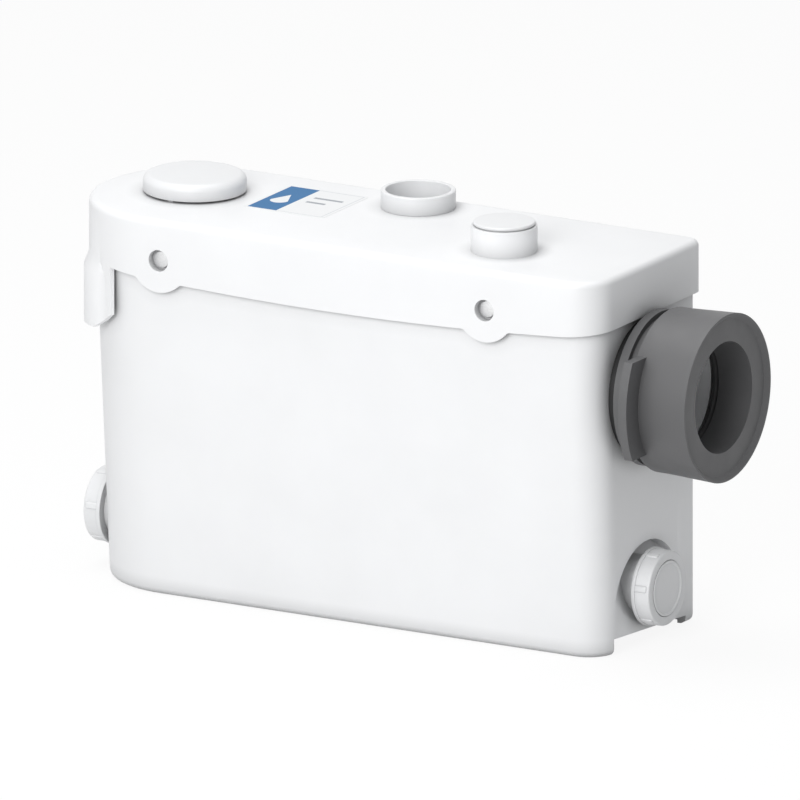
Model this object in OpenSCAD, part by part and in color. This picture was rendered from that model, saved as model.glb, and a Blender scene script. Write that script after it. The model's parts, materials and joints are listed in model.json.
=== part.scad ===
// Macerator toilet pump: tank, lid, waste connections, macerator, pump and controls.
// Millimetres. +X points to the waste sleeve, +Y to the back, +Z up. The floor is Z = 0.

/* [Lid] */
// Length of the lid, from its round end to its square end
lid_l = 460; // [450:1:480]
// Width of the lid, front to back
lid_w = 160; // [158:1:168]
// Height of the lid's top face above the floor
lid_top = 288.5; // [280:0.5:300]
// Depth of the skirt at the middle of the lid
skirt_mid = 49.3; // [47:0.1:54]
// Depth of the skirt at both ends of the lid
skirt_end = 39.5; // [37:0.1:44]
// Wall thickness of the lid
lid_wall = 3; // [2.5:0.1:3.4]
// Rounding along the lid's upper edge
lid_edge_r = 5; // [4:0.5:7]
// Corner radius at the front of the square end
corner_front_r = 28; // [22:1:32]
// Corner radius at the back of the square end
corner_back_r = 10; // [9:0.5:14]
// Distance that the lid stands out past the tank
overhang = 4.3; // [4:0.1:5]
// Height of the tongue under the lid that presses on the gasket
tongue_h = 7; // [5:0.5:9]
// Thickness of the gasket on the tank's rim
gasket_t = 3; // [2:0.5:4]

/* [Cable hood] */
// Direction of the hood, turned from the round end towards the front
hood_turn = 45; // [40:1:50]
// Half of the hood's width
hood_half_w = 29; // [28:0.5:34]
// Lower edge of the hood below the lid's top
hood_drop = 91.5; // [88:0.5:98]
// Corner radius at the hood's lower edge
hood_corner_r = 9; // [6:1:12]
// Width of the bevel at the hood's lower corner towards the front
hood_bevel_w = 16; // [12:1:17]
// Height of that bevel
hood_bevel_h = 12.5; // [11:0.5:14]
// Wall thickness of the bulge on the hood
hood_wall = 2.5; // [2:0.1:3]
// Radius of the rounded bulge
bulge_r = 30; // [28:1:34]
// Distance that the bulge stands out past the lid's wall
bulge_out = 5.6; // [5:0.1:7]
// Point of the bulge below the lid's top
bulge_drop = 40; // [36:1:46]
// Lean of the bulge's upper face
bulge_lean = 22; // [18:1:28]

/* [Lid screws] */
// Distance of each screw from its end of the lid
screw_from_end = 92.4; // [85:0.2:100]
// Screw axis below the lid's top
screw_drop = 30.5; // [29:0.5:33]
// Radius of the scallop round each screw
scallop_r = 24; // [22:0.5:26]
// Blend radius between a scallop and the rim
scallop_blend_r = 6; // [4:0.5:9]
// Radius of the screw recess
recess_r = 8.1; // [7.6:0.1:8.6]
// Depth from the lid's face to the screw's head
recess_depth = 4.5; // [4:0.1:5]
// Radius of the screw's head
screw_head_r = 6.35; // [5.5:0.05:7]
// Thickness of the screw's head
screw_head_t = 2.5; // [2:0.1:3]
// Radius of the screw's shank
screw_shank_r = 2; // [1.5:0.1:2.5]
// Length of the screw's shank
screw_shank_l = 14; // [12:1:16]

/* [Top fittings] */
// Vent cap centre from the lid's round end
vent_from_left = 74; // [70:1:80]
// Vent cap centre behind the middle line
vent_y = 5; // [0:1:8]
// Radius of the vent cap
vent_r = 38; // [36:0.5:42]
// Height of the vent cap's top above the lid
vent_h = 14; // [12:0.5:18]
// Air gap under the vent cap
vent_gap = 1.5; // [1:0.1:2.5]
// Inner radius of the filter well
well_r = 31; // [29:0.5:33]
// Depth of the filter well below the lid's top
well_depth = 23; // [20:1:26]
// Inlet spigot centre from the lid's round end
spigot_from_left = 352; // [346:1:358]
// Inlet spigot centre in front of the middle line
spigot_front = 24; // [20:1:28]
// Outer radius of the inlet spigot
spigot_r = 24.4; // [23:0.1:26]
// Bore radius of the inlet spigot
spigot_bore_r = 21.4; // [20:0.1:22]
// Height of the inlet spigot above the lid
spigot_h = 19.5; // [16:0.5:24]
// Radius of the plug's head
plug_head_r = 22.8; // [22:0.1:23.4]
// Thickness of the plug's head
plug_head_t = 3; // [2:0.1:4]
// Length of the plug inside the spigot
plug_l = 20; // [16:1:24]
// Discharge socket centre from the lid's round end
discharge_from_left = 237; // [234:1:242]
// Discharge socket centre from the lid's back face
discharge_from_back = 31; // [30:0.5:34]
// Outer radius of the discharge socket
socket_r = 27.5; // [27:0.1:29]
// Bore radius of the discharge socket
socket_bore_r = 23.85; // [22:0.05:24.5]
// Height of the discharge socket above the lid
socket_h = 13.5; // [11:0.5:18]

/* [Tank] */
// Wall thickness of the tank
tank_wall = 3.5; // [3:0.1:4]
// Height of the hollow under the tank's floor
floor_lift = 13.5; // [13.5:0.5:15]
// Thickness of the tank's floor
floor_t = 3.5; // [3:0.1:5]
// Draft of the front wall in degrees
front_draft = 2.9; // [2:0.1:3.2]
// Draft of the round end in degrees
left_draft = 1.6; // [1.2:0.1:2.4]
// Rounding along the tank's lower edge
foot_r = 5; // [3:0.5:6]
// Height of the cut-out under the square end at its front
cut_h = 12.5; // [9:0.5:13]
// Height of the cut-out at its back
cut_back_h = 6.5; // [5:0.5:9]
// Width of the cut-out under the square end
cut_w = 103; // [90:1:104]
// Centre of the cut-out behind the middle line
cut_y = 9.5; // [8:0.5:10]

/* [WC sleeve] */
// Sleeve axis below the lid's top
wc_drop = 93.7; // [92:0.1:100]
// Outer radius of the tank's WC neck
wc_neck_r = 48; // [47:0.1:48.4]
// Wall of the tank's WC neck
wc_neck_wall = 3.5; // [3:0.1:4]
// Length of the WC neck outside the tank
wc_neck_out = 31; // [29:1:34]
// Face of the sleeve from the tank's wall
sleeve_out = 71; // [68:1:80]
// Start of the sleeve's main barrel from the wall
barrel_from = 23; // [22:0.5:25]
// Barrel radius at its start
barrel_r = 61.1; // [60:0.1:62]
// Growth of the barrel's radius up to its face
face_flare = 1.8; // [1:0.1:2.5]
// Wall thickness of the sleeve's barrel
barrel_wall = 4; // [3:0.1:5]
// Step from the barrel down to the inner collar
collar_step = 3.1; // [2:0.1:4]
// Step from the barrel in to the sleeve's hole
lip_step = 19.6; // [18.6:0.1:21]
// Thickness of the lip round the hole
lip_t = 5; // [4:0.5:7]
// Depth of the sleeve's face inside its rim
rim_depth = 3.3; // [2:0.1:4]
// Outer radius of the grip wings
wing_r = 78.5; // [74:0.5:79]
// Half of a wing's height
wing_half_h = 37; // [32:0.5:40]
// Thickness of a wing
wing_t = 7; // [5:0.5:9]
// Turn that frees the sleeve, in degrees
sleeve_turn = 40; // [30:1:45]

/* [Side inlets] */
// Axis of the side inlets above the floor
side_z = 42.5; // [41.5:0.5:47]
// Axis of the side inlets behind the middle line
side_y = 5; // [3:0.5:6]
// Outer radius of a side neck
neck_r = 22; // [21:0.1:22.2]
// Bore radius of a side neck
neck_bore_r = 18.5; // [17:0.1:19]
// Right cap's face from the right wall
right_face_out = 17.5; // [17:0.1:20]
// Left cap's face from the round end's wall
left_face_out = 15.2; // [14.5:0.1:18]
// Length of a union nut
nut_l = 14.5; // [14:0.5:16]
// Flange radius of a union nut
nut_flange_r = 29; // [28.8:0.1:30]
// Radius of a union nut at its face
nut_face_r = 27.8; // [27:0.1:28]
// Opening radius in a union nut's face
nut_hole_r = 21; // [20.6:0.1:21.1]
// Number of grip ribs on a union nut
nut_ribs = 6; // [4:1:10]
// Half of a grip rib's width
rib_half_w = 2.6; // [2:0.1:3]
// Radius of the arch over a side pocket
pocket_arch_r = 47; // [45:0.5:49]
// Drop of the arch's centre below the inlet axis
pocket_arch_drop = 13; // [11:0.5:15]
// Radius of the pocket's scoop on the wall
scoop_r = 57; // [55:0.5:59]
// Rise of the scoop's centre above the inlet axis
scoop_rise = 30.8; // [29:0.2:33]
// Depth of the scoop
scoop_depth = 14; // [12:0.5:15]
// Distance of the flap's seat behind the wall
seat_in = 22; // [20:0.5:26]
// Radius of an inlet flap
flap_r = 21; // [20:0.1:21.5]
// Thickness of an inlet flap
flap_t = 2.5; // [2:0.1:3]

/* [Pump] */
// Pump axis from the lid's round end
pump_from_left = 300; // [298:1:304]
// Height of the floor posts under the volute
post_h = 6; // [4:0.5:8]
// Height of the volute's chamber
chamber_h = 24; // [24:0.5:28]
// Distance of the spiral's start inside the basket's wall
spiral_in = 18; // [16:0.5:19]
// Bore radius of the volute's outlet
outlet_r = 9.5; // [8:0.1:9.6]
// Wall of the volute
volute_wall = 4; // [3:0.1:4.5]
// Gap between the impeller and the spiral's start
impeller_gap = 4; // [3:0.5:8]
// Number of impeller vanes
vanes = 6; // [4:1:8]
// Thickness of the cutting plate
cut_plate_t = 5; // [4:0.5:7]
// Height of the macerator basket
basket_h = 58; // [54:1:64]
// Least distance of the macerator basket from the lid's side
basket_in = 24; // [24:0.5:26]
// Wall of the macerator basket
basket_wall = 2.5; // [2:0.1:3]
// Number of slots round the basket
basket_slots = 24; // [16:1:28]
// Height of the inlet trough's sides
trough_h = 34; // [28:1:36]
// Half of the inlet trough's width
trough_half_w = 40; // [34:1:40]
// Distance of the cutter's tips inside the basket's wall
cutter_in = 10; // [6:0.5:14]
// Distance of a tie rod's axis from the wall beside it
rod_out = 6; // [6:0.1:7]
// Radius of a tie rod
rod_r = 2.5; // [2:0.1:3]

/* [Motor] */
// Outer radius of the motor can
can_r = 46; // [44:0.5:48]
// Height of the motor can
can_h = 100; // [90:1:104]
// Wall of the motor can
can_wall = 1.5; // [1:0.1:2]
// Thickness of the motor bracket
bracket_t = 8; // [7:0.5:10]
// Bore radius of the stator
stator_bore_r = 27; // [24:0.5:28]
// Air gap between rotor and stator
air_gap = 0.6; // [0.4:0.1:1]
// Height of the stator pack
stack_h = 52; // [44:1:54]
// Radius of the shaft
shaft_r = 6; // [5:0.1:6.5]
// Outer radius of a bearing
bearing_r = 16; // [15:0.5:17]
// Width of a bearing
bearing_w = 10; // [8:0.5:11]

/* [Discharge line] */
// Height of the valve chamber
valve_h = 43; // [40:1:46]
// Bore radius of the valve chamber
valve_r = 20; // [19.5:0.1:20.2]
// Radius of the valve flap
valve_flap_r = 14; // [13:0.1:14.5]
// Thickness of the valve flap
valve_flap_t = 2.5; // [2:0.1:3]
// Outer radius of the hose spigots
tail_r = 15.5; // [15:0.1:16]
// Wall of the discharge hose
hose_wall = 3.5; // [3:0.1:4]

/* [Control] */
// Control box centre from the lid's round end
control_from_left = 160; // [156:1:162]
// Half length of the control box
control_half_l = 38; // [36:0.5:40]
// Half width of the control box
control_half_w = 52; // [50:0.5:54]
// Height of the control box
control_h = 50; // [48:1:54]
// Length of the lid bosses that carry the control box
boss_l = 20; // [16:1:24]
// Wall of the control box
control_wall = 2.5; // [2:0.1:3]
// Radius of the pressure switch
switch_r = 18; // [16:0.5:19]
// Height of the pressure switch
switch_h = 22; // [20:0.5:24]
// Radius of the dip tube
dip_r = 12; // [10:0.5:14]
// Lower end of the dip tube above the tank's floor
dip_gap = 14; // [10:1:20]
// Radius of the capacitor
capacitor_r = 13; // [11:0.5:14]

/* [Fits] */
// Clearance between a sliding piece and its guide
slide_fit = 0.4; // [0.3:0.05:0.5]
// Running clearance of a shaft or a pin
run_fit = 0.05; // [0.03:0.01:0.08]
// Gap between a flap and its seat
seat_fit = 0.3; // [0.2:0.05:0.4]

/* [Hidden] */
$fn = 64;

white = [0.95, 0.95, 0.96];
sleeve_grey = [0.42, 0.42, 0.43];
rubber = [0.12, 0.12, 0.13];
steel = [0.72, 0.73, 0.75];
grey_plastic = [0.6, 0.61, 0.63];
board_green = [0.1, 0.35, 0.2];

// Extra length that lets a cut pass clear of a face
past = 1;
// Depth by which a moulded feature grows out of its wall
root = 0.8;
// Segments of the round end and of each corner in a plan outline
round_n = 40;
corner_n = 8;
// Steps of a rounded edge
edge_n = 5;

// Distances along the length, measured from the lid's round end until lid_left shifts them
lid_r = lid_w / 2;
tank_r = lid_r - overhang;
rim_z = lid_top - lid_wall - tongue_h - gasket_t;
front_in = rim_z * tan(front_draft);
left_in = rim_z * tan(left_draft);
function lean(z) = 1 - z / rim_z;
left_plane = overhang + left_in * lean(side_z);
disc_out = 0.5;
overall_from = min(0, left_plane - left_face_out - disc_out);
overall_to = max(lid_l, lid_l - overhang + sleeve_out);
lid_left = -(overall_from + overall_to) / 2;
lid_mid_x = lid_left + lid_l / 2;
screw_from_mid = lid_l / 2 - screw_from_end;
wall_x = lid_left + lid_l - overhang;
left_x = lid_left + left_plane;
round_x = lid_left + lid_r;

// Heights
floor_z = floor_lift + floor_t;
wc_z = lid_top - wc_drop;
screw_z = lid_top - screw_drop;
lid_ceiling = lid_top - lid_wall;
volute_z = floor_z + post_h;
chamber_z = volute_z + volute_wall;
plate_z = chamber_z + chamber_h;
basket_z = plate_z + cut_plate_t;
bracket_z = basket_z + basket_h;
can_z = bracket_z + bracket_t;
end_cap_z = can_z + can_h;
end_cap_t = 14;
outlet_z = chamber_z + chamber_h / 2;

// Places in plan
pump_x = lid_left + pump_from_left;
discharge_x = lid_left + discharge_from_left;
discharge_y = lid_r - discharge_from_back;
vent_x = lid_left + vent_from_left;
spigot_x = lid_left + spigot_from_left;
control_x = lid_left + control_from_left;

// Radii of the macerator, in the room between the tank's sides and the valve
valve_wall = 2.5;
valve_gap = 1.2;
basket_reach = norm([pump_x - discharge_x, discharge_y]) - valve_r - valve_wall - valve_gap;
basket_r = min(lid_r - basket_in, basket_reach);
spiral_r = basket_r - spiral_in;
impeller_r = spiral_r - impeller_gap;
cutter_r = basket_r - cutter_in;

// Plan outline with a half-round left end and two right corners
function outline(x0, x1, y0, y1, front_r, back_r, z) =
    let (r = (y1 - y0) / 2)
    concat(
        [for (i = [0 : round_n])
            let (a = 90 + 180 * i / round_n)
            [x0 + r + r * cos(a), y0 + r + r * sin(a), z]],
        [for (i = [0 : corner_n])
            let (a = 270 + 90 * i / corner_n)
            [x1 - front_r + front_r * cos(a), y0 + front_r + front_r * sin(a), z]],
        [for (i = [0 : corner_n])
            let (a = 90 * i / corner_n)
            [x1 - back_r + back_r * cos(a), y1 - back_r + back_r * sin(a), z]]);

function lid_ring(inset, z) =
    outline(lid_left + inset, lid_left + lid_l - inset, -lid_r + inset, lid_r - inset,
        corner_front_r - inset, corner_back_r - inset, z);

function tank_ring(inset, z) =
    outline(lid_left + overhang + left_in * lean(z) + inset, wall_x - inset,
        -tank_r + front_in * lean(z) + inset, tank_r - inset,
        max(corner_front_r - overhang - inset, 0.5), max(corner_back_r - overhang - inset, 0.5), z);

// Solid through a stack of plan outlines, lowest first
module loft(rings) {
    n = len(rings[0]);
    top = len(rings) - 1;
    polyhedron(
        points = [for (ring = rings) for (p = ring) p],
        faces = concat(
            [[for (i = [0 : n - 1]) i]],
            [for (k = [0 : top - 1]) for (i = [0 : n - 1])
                [k * n + i, (k + 1) * n + i, k * n + (i + 1) % n]],
            [for (k = [0 : top - 1]) for (i = [0 : n - 1])
                [k * n + (i + 1) % n, (k + 1) * n + i, (k + 1) * n + (i + 1) % n]],
            [[for (i = [n - 1 : -1 : 0]) top * n + i]]));
}

module rod_x(r, x0, x1) {
    translate([x0, 0, 0])
        rotate([0, 90, 0])
            cylinder(r = r, h = x1 - x0);
}

module rod_y(r, y0, y1) {
    translate([0, y0, 0])
        rotate([-90, 0, 0])
            cylinder(r = r, h = y1 - y0);
}

module tube(r, bore, z0, z1) {
    translate([0, 0, z0])
        difference() {
            cylinder(r = r, h = z1 - z0);
            translate([0, 0, -past])
                cylinder(r = bore, h = z1 - z0 + 2 * past);
        }
}

// Turned shape about the X axis, from [radius, x] points
module turned_x(profile) {
    rotate([0, 90, 0])
        rotate_extrude($fn = 96)
            polygon(profile);
}

module at_pump() {
    translate([pump_x, 0, 0])
        children();
}

module at_discharge() {
    translate([discharge_x, discharge_y, 0])
        children();
}

module at_vent() {
    translate([vent_x, vent_y, 0])
        children();
}

module at_spigot() {
    translate([spigot_x, -spigot_front, 0])
        children();
}

module at_wc() {
    translate([wall_x, 0, wc_z])
        children();
}

// Local frame of a side inlet: +X leaves the tank, the inlet axis is the origin
module at_right_inlet() {
    translate([wall_x, side_y, side_z])
        children();
}

module at_left_inlet() {
    translate([left_x, side_y, side_z])
        mirror([1, 0, 0])
            children();
}

// Local frame of the hood: +X points outwards from the round end's centre
module at_hood() {
    translate([round_x, 0, 0])
        rotate([0, 0, 180 + hood_turn])
            children();
}

// Four lid screw places, each with +Y pointing into the tank
module at_lid_screws() {
    for (side = [0, 1], end = [-1, 1])
        translate([lid_mid_x + end * screw_from_mid, 0, screw_z])
            mirror([0, side, 0])
                translate([0, -lid_r, 0])
                    children();
}

// Lid

rim_arc_r = ((lid_l / 2) ^ 2 + (skirt_mid - skirt_end) ^ 2) / (2 * (skirt_mid - skirt_end));
rim_arc_y = rim_arc_r - skirt_mid;

// Centre of the blend circle between the rim's arc and a scallop
function blend_centre(sx, sy, side) =
    let (dx = sx, dy = sy - rim_arc_y)
    let (d = norm([dx, dy]))
    let (a = rim_arc_r + scallop_blend_r, b = scallop_r + scallop_blend_r)
    let (along = (a * a - b * b + d * d) / (2 * d))
    let (across = sqrt(a * a - along * along))
    [(along * dx - side * across * dy) / d, rim_arc_y + (along * dy + side * across * dx) / d];

module scallop_blend(sx, sy, side) {
    c = blend_centre(sx, sy, side);
    rim_p = [0, rim_arc_y] + (c - [0, rim_arc_y]) * rim_arc_r / (rim_arc_r + scallop_blend_r);
    edge_p = [sx, sy] + (c - [sx, sy]) * scallop_r / (scallop_r + scallop_blend_r);
    difference() {
        polygon(side > 0 ? [c, edge_p, [sx, sy], rim_p] : [c, rim_p, [sx, sy], edge_p]);
        translate(c)
            circle(r = scallop_blend_r);
    }
}

// Front view of the skirt, with the lid's top at y = 0
module skirt_view() {
    intersection() {
        translate([0, rim_arc_y])
            circle(r = rim_arc_r, $fn = 720);
        translate([-lid_l, -2 * skirt_mid])
            square([2 * lid_l, 3 * skirt_mid]);
    }
    for (end = [-1, 1]) {
        translate([end * screw_from_mid, -screw_drop])
            circle(r = scallop_r);
        for (side = [-1, 1])
            scallop_blend(end * screw_from_mid, -screw_drop, side);
    }
}

module skirt_region() {
    translate([lid_mid_x, lid_w, lid_top])
        rotate([90, 0, 0])
            linear_extrude(2 * lid_w)
                skirt_view();
}

// Outline of the hood seen along its direction, reaching up into the skirt
module hood_region(reach) {
    low = lid_top - hood_drop;
    at_hood()
        translate([lid_r / 2, 0, 0])
            rotate([90, 0, 90])
                linear_extrude(lid_r / 2 + reach)
                    difference() {
                        union() {
                            translate([-hood_half_w, low + hood_corner_r])
                                square([2 * hood_half_w, hood_drop - skirt_end]);
                            translate([-hood_half_w + hood_corner_r, low])
                                square([2 * (hood_half_w - hood_corner_r), hood_drop - skirt_end]);
                            for (side = [-1, 1])
                                translate([side * (hood_half_w - hood_corner_r), low + hood_corner_r])
                                    circle(r = hood_corner_r);
                        }
                        translate([hood_half_w, low])
                            polygon([[-hood_bevel_w, 0], [-hood_bevel_w, -past], [past, -past],
                                [past, hood_bevel_h], [0, hood_bevel_h]]);
                    }
}

// Rounded bulge on the hood: an upright barrel met by a leaning one
module bulge(inset) {
    axis = lid_r + bulge_out - bulge_r;
    r = bulge_r - inset;
    at_hood()
        intersection() {
            translate([axis, 0, lid_top - hood_drop - (inset > 0 ? past : 0)])
                cylinder(r = r, h = hood_drop);
            translate([axis - bulge_out, 0, lid_top - bulge_drop])
                rotate([0, -bulge_lean, 0])
                    translate([0, 0, -2 * hood_drop])
                        cylinder(r = r, h = 3 * hood_drop);
        }
}

module lid_outside() {
    low = lid_top - hood_drop - past;
    edge_z = lid_top - lid_edge_r;
    loft(concat(
        [lid_ring(0, low)],
        [for (i = [0 : edge_n])
            let (a = 90 * i / edge_n)
            lid_ring(lid_edge_r * (1 - cos(a)), edge_z + lid_edge_r * sin(a))]));
}

module lid_inside() {
    low = lid_top - hood_drop - 2 * past;
    inner_r = lid_edge_r - lid_wall;
    edge_z = lid_ceiling - inner_r;
    loft([
        lid_ring(lid_wall, low),
        lid_ring(lid_wall, edge_z),
        lid_ring(lid_wall + inner_r * (1 - cos(45)), edge_z + inner_r * sin(45)),
        lid_ring(lid_wall + inner_r, lid_ceiling)]);
}

// Ring that follows the tank's rim
rim_in = overhang + seat_fit;
rim_out = overhang + tank_wall - seat_fit;
module rim_ring(z0, z1) {
    difference() {
        loft([lid_ring(rim_in, z0), lid_ring(rim_in, z1)]);
        loft([lid_ring(rim_out, z0 - past), lid_ring(rim_out, z1 + past)]);
    }
}

cup_floor = 2;
cup_l = recess_depth + screw_head_t + cup_floor;
cup_r = recess_r + 2.5;
well_wall = 2.5;
well_floor = 2;
well_z = lid_top - well_depth;

// Bosses under the lid that carry the control box
boss_r = 5;
boss_dx = control_half_l - boss_r;
boss_dy = control_half_w + boss_r;
boss_z = lid_ceiling - boss_l;
module at_bosses() {
    for (sx = [-1, 1], sy = [-1, 1])
        translate([control_x + sx * boss_dx, sy * boss_dy, 0])
            children();
}

module filter_well() {
    at_vent()
        difference() {
            translate([0, 0, well_z])
                cylinder(r = well_r + well_wall, h = well_depth - lid_wall + root);
            translate([0, 0, well_z + well_floor])
                cylinder(r = well_r, h = well_depth);
        }
}

module lid_holes() {
    at_vent() {
        translate([0, 0, well_z + well_floor])
            cylinder(r = well_r, h = well_depth);
        for (a = [0 : 60 : 300])
            rotate([0, 0, a])
                translate([well_r / 2, 0, well_z - past])
                    cylinder(r = well_r / 6, h = well_floor + 2 * past);
    }
    at_spigot()
        translate([0, 0, lid_ceiling - past])
            cylinder(r = spigot_bore_r, h = spigot_h + lid_wall + 2 * past);
    at_discharge()
        translate([0, 0, lid_ceiling - tongue_h])
            cylinder(r = socket_bore_r + socket_wall + slide_fit, h = lid_wall + tongue_h + past);
    at_lid_screws() {
        rod_y(recess_r, -past, cup_l - cup_floor);
        rod_y(screw_shank_r + slide_fit, 0, cup_l + past);
    }
    at_bosses()
        translate([0, 0, boss_z - past])
            cylinder(r = control_screw_r, h = boss_l - lid_wall);
}

module lid() {
    color(white)
        difference() {
            union() {
                difference() {
                    union() {
                        intersection() {
                            lid_outside();
                            union() {
                                skirt_region();
                                hood_region(past);
                            }
                        }
                        intersection() {
                            bulge(0);
                            hood_region(2 * bulge_out);
                        }
                    }
                    lid_inside();
                    bulge(hood_wall);
                }
                difference() {
                    at_lid_screws()
                        rod_y(cup_r, root, cup_l);
                    at_lid_screws()
                        rod_y(recess_r, 0, cup_l - cup_floor);
                }
                rim_ring(rim_z + gasket_t, lid_ceiling + root);
                filter_well();
                at_spigot()
                    translate([0, 0, lid_ceiling])
                        cylinder(r = spigot_r, h = spigot_h + lid_wall);
                at_bosses()
                    translate([0, 0, boss_z])
                        cylinder(r = boss_r, h = boss_l + root);
            }
            lid_holes();
        }
}

module lid_gasket() {
    color(rubber)
        rim_ring(rim_z, rim_z + gasket_t);
}

module lid_screws() {
    color(steel)
        at_lid_screws() {
            rod_y(screw_head_r, recess_depth, recess_depth + screw_head_t);
            rod_y(screw_shank_r, recess_depth + screw_head_t - root, cup_l + screw_shank_l);
        }
}

// Top fittings

vent_foot = 4;
module vent_cap() {
    skirt_r = well_r - slide_fit;
    edge = 5.5;
    color(white)
        at_vent()
            translate([0, 0, lid_top]) {
                rotate_extrude($fn = 96)
                    difference() {
                        union() {
                            translate([0, vent_gap])
                                square([vent_r, vent_h - vent_gap - edge]);
                            translate([0, vent_gap])
                                square([vent_r - edge, vent_h - vent_gap]);
                            translate([vent_r - edge, vent_h - edge])
                                circle(r = edge);
                            translate([0, -lid_wall])
                                square([skirt_r, vent_h]);
                        }
                        translate([-past, -lid_wall - past])
                            square([skirt_r - lid_wall + past, vent_h - lid_wall + past]);
                        translate([skirt_r, vent_gap - past])
                            square([vent_r - skirt_r - lid_wall, vent_h - vent_gap - edge - lid_wall]);
                    }
                for (a = [45 : 90 : 315])
                    rotate([0, 0, a])
                        translate([skirt_r - root, -vent_foot / 2, 0])
                            cube([vent_r - skirt_r - past, vent_foot, vent_gap + edge]);
            }
}

module vent_filter() {
    color(rubber)
        at_vent()
            translate([0, 0, well_z + well_floor])
                cylinder(r = well_r - slide_fit, h = well_depth - well_floor - lid_wall * 2 - slide_fit);
}

plug_r = spigot_bore_r - slide_fit;
seal_w = 3;
module inlet_plug() {
    top = lid_top + spigot_h;
    low = plug_l * 2 / 3;
    color(white)
        at_spigot()
            translate([0, 0, top])
                rotate_extrude($fn = 96)
                    difference() {
                        polygon([
                            [0, plug_head_t], [plug_head_r - past, plug_head_t],
                            [plug_head_r, plug_head_t - past], [plug_head_r, 0.8],
                            [plug_head_r - 1, 0.8], [plug_head_r - 1, 0],
                            [plug_r, 0], [plug_r, -plug_l], [plug_r - lid_wall, -plug_l],
                            [plug_r - lid_wall, 0], [0, 0]]);
                        translate([plug_r - seal_w / 2, -low - seal_w / 2])
                            square([seal_w, seal_w]);
                    }
}

module plug_seal() {
    low = plug_l * 2 / 3;
    color(rubber)
        at_spigot()
            translate([0, 0, lid_top + spigot_h - low])
                rotate_extrude($fn = 96)
                    translate([plug_r - seal_w / 2, -seal_w / 2])
                        square([seal_w / 2, seal_w]);
}

socket_wall = 1.8;
socket_low = lid_ceiling - 2;
cone_h = 18;
socket_tail_l = 26;
tail_z = socket_low - cone_h;
tail_end = tail_z - socket_tail_l;
tail_bore = tail_r - 3;
module discharge_socket() {
    neck = socket_bore_r + socket_wall;
    floor = socket_low + 3;
    color(white)
        at_discharge()
            rotate_extrude($fn = 96)
                polygon([
                    [tail_bore, tail_end], [tail_r, tail_end], [tail_r, tail_z], [neck, socket_low],
                    [neck, lid_top], [socket_r, lid_top], [socket_r, lid_top + socket_h - 0.6],
                    [socket_r - 0.6, lid_top + socket_h], [socket_bore_r + 0.4, lid_top + socket_h],
                    [socket_bore_r, lid_top + socket_h - 0.4], [socket_bore_r, floor],
                    [tail_bore, tail_z]]);
}

// WC sleeve, turned about X from the tank's wall

face_r = barrel_r + face_flare;
collar_r = barrel_r - collar_step;
lip_r = barrel_r - lip_step;
sleeve_bore = wc_neck_r + slide_fit;
wing_from = barrel_from + 1;
collar_from = 8;
collar_to = 15;
bayonet_from = 11;
bayonet_w = 4;
bayonet_h = 2.2;
bayonet_fit = 0.5;
bayonet_span = 18;
slot_r = wc_neck_r + bayonet_h + bayonet_fit;
groove_r = max(collar_r - 4, slot_r + 2);
seal_t = 6;
seal_bore = lip_r + 1.5;
chamber_r = barrel_r - barrel_wall;
face_x = sleeve_out - rim_depth;
rim_w = 1.4;
tube_end = wc_neck_out + 2 + seal_t + seat_fit;
tube_r = lip_r + barrel_wall;

module sleeve_turning() {
    turned_x([
        [sleeve_bore, collar_from], [collar_r, collar_from], [collar_r, collar_to],
        [groove_r, collar_to], [groove_r, barrel_from], [barrel_r, barrel_from],
        [barrel_r, wing_from + wing_t + 1], [face_r, sleeve_out], [face_r - rim_w, sleeve_out],
        [face_r - rim_w - rim_depth, face_x], [lip_r, face_x], [lip_r, tube_end],
        [tube_r, tube_end], [tube_r, face_x - lip_t], [chamber_r, face_x - lip_t],
        [chamber_r, wc_neck_out + 2], [sleeve_bore, wc_neck_out + 2]]);
}

// Wings with level ends, on both sides of the barrel
module sleeve_wings() {
    difference() {
        intersection() {
            rod_x(wing_r, wing_from, wing_from + wing_t);
            translate([0, -wing_r, -wing_half_h])
                cube([sleeve_out, 2 * wing_r, 2 * wing_half_h]);
        }
        rod_x(barrel_r - root, wing_from - past, wing_from + wing_t + past);
    }
}

// Sector about the X axis, used for the bayonet's lugs and slots
module sector_x(r0, r1, x0, x1, from, to) {
    rotate([0, 90, 0])
        translate([0, 0, x0])
            rotate([0, 0, from])
                rotate_extrude(angle = to - from, $fn = 96)
                    translate([r0, 0])
                        square([r1 - r0, x1 - x0]);
}

module wc_sleeve() {
    half = bayonet_span / 2;
    color(sleeve_grey)
        at_wc()
            difference() {
                union() {
                    sleeve_turning();
                    sleeve_wings();
                }
                turned_x([
                    [sleeve_bore - past, bayonet_from - bayonet_fit],
                    [slot_r, bayonet_from - bayonet_fit],
                    [slot_r, bayonet_from + bayonet_w + bayonet_fit],
                    [sleeve_bore - past, bayonet_from + bayonet_w + bayonet_fit]]);
                for (a = [0 : 120 : 240])
                    sector_x(sleeve_bore - past, slot_r + seat_fit, collar_from - past, bayonet_from + past,
                        a - sleeve_turn - half - 2, a - sleeve_turn + half + 2);
            }
}

module wc_lip_seal() {
    color(rubber)
        at_wc()
            turned_x([
                [chamber_r, wc_neck_out + 2], [chamber_r, wc_neck_out + 2 + seal_t],
                [seal_bore + 3, wc_neck_out + 2 + seal_t], [seal_bore, wc_neck_out + seal_t / 2 + 2],
                [seal_bore, wc_neck_out + 2]]);
}

module wc_ring_seal() {
    color(rubber)
        at_wc()
            turned_x([
                [wc_neck_r + 0.1, 0], [wc_neck_r + 3.3, 0], [wc_neck_r + 3.3, collar_from - 3],
                [wc_neck_r + 2.3, collar_from - seat_fit], [wc_neck_r + 0.1, collar_from - seat_fit]]);
}

// Side inlets in their own frame

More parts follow.
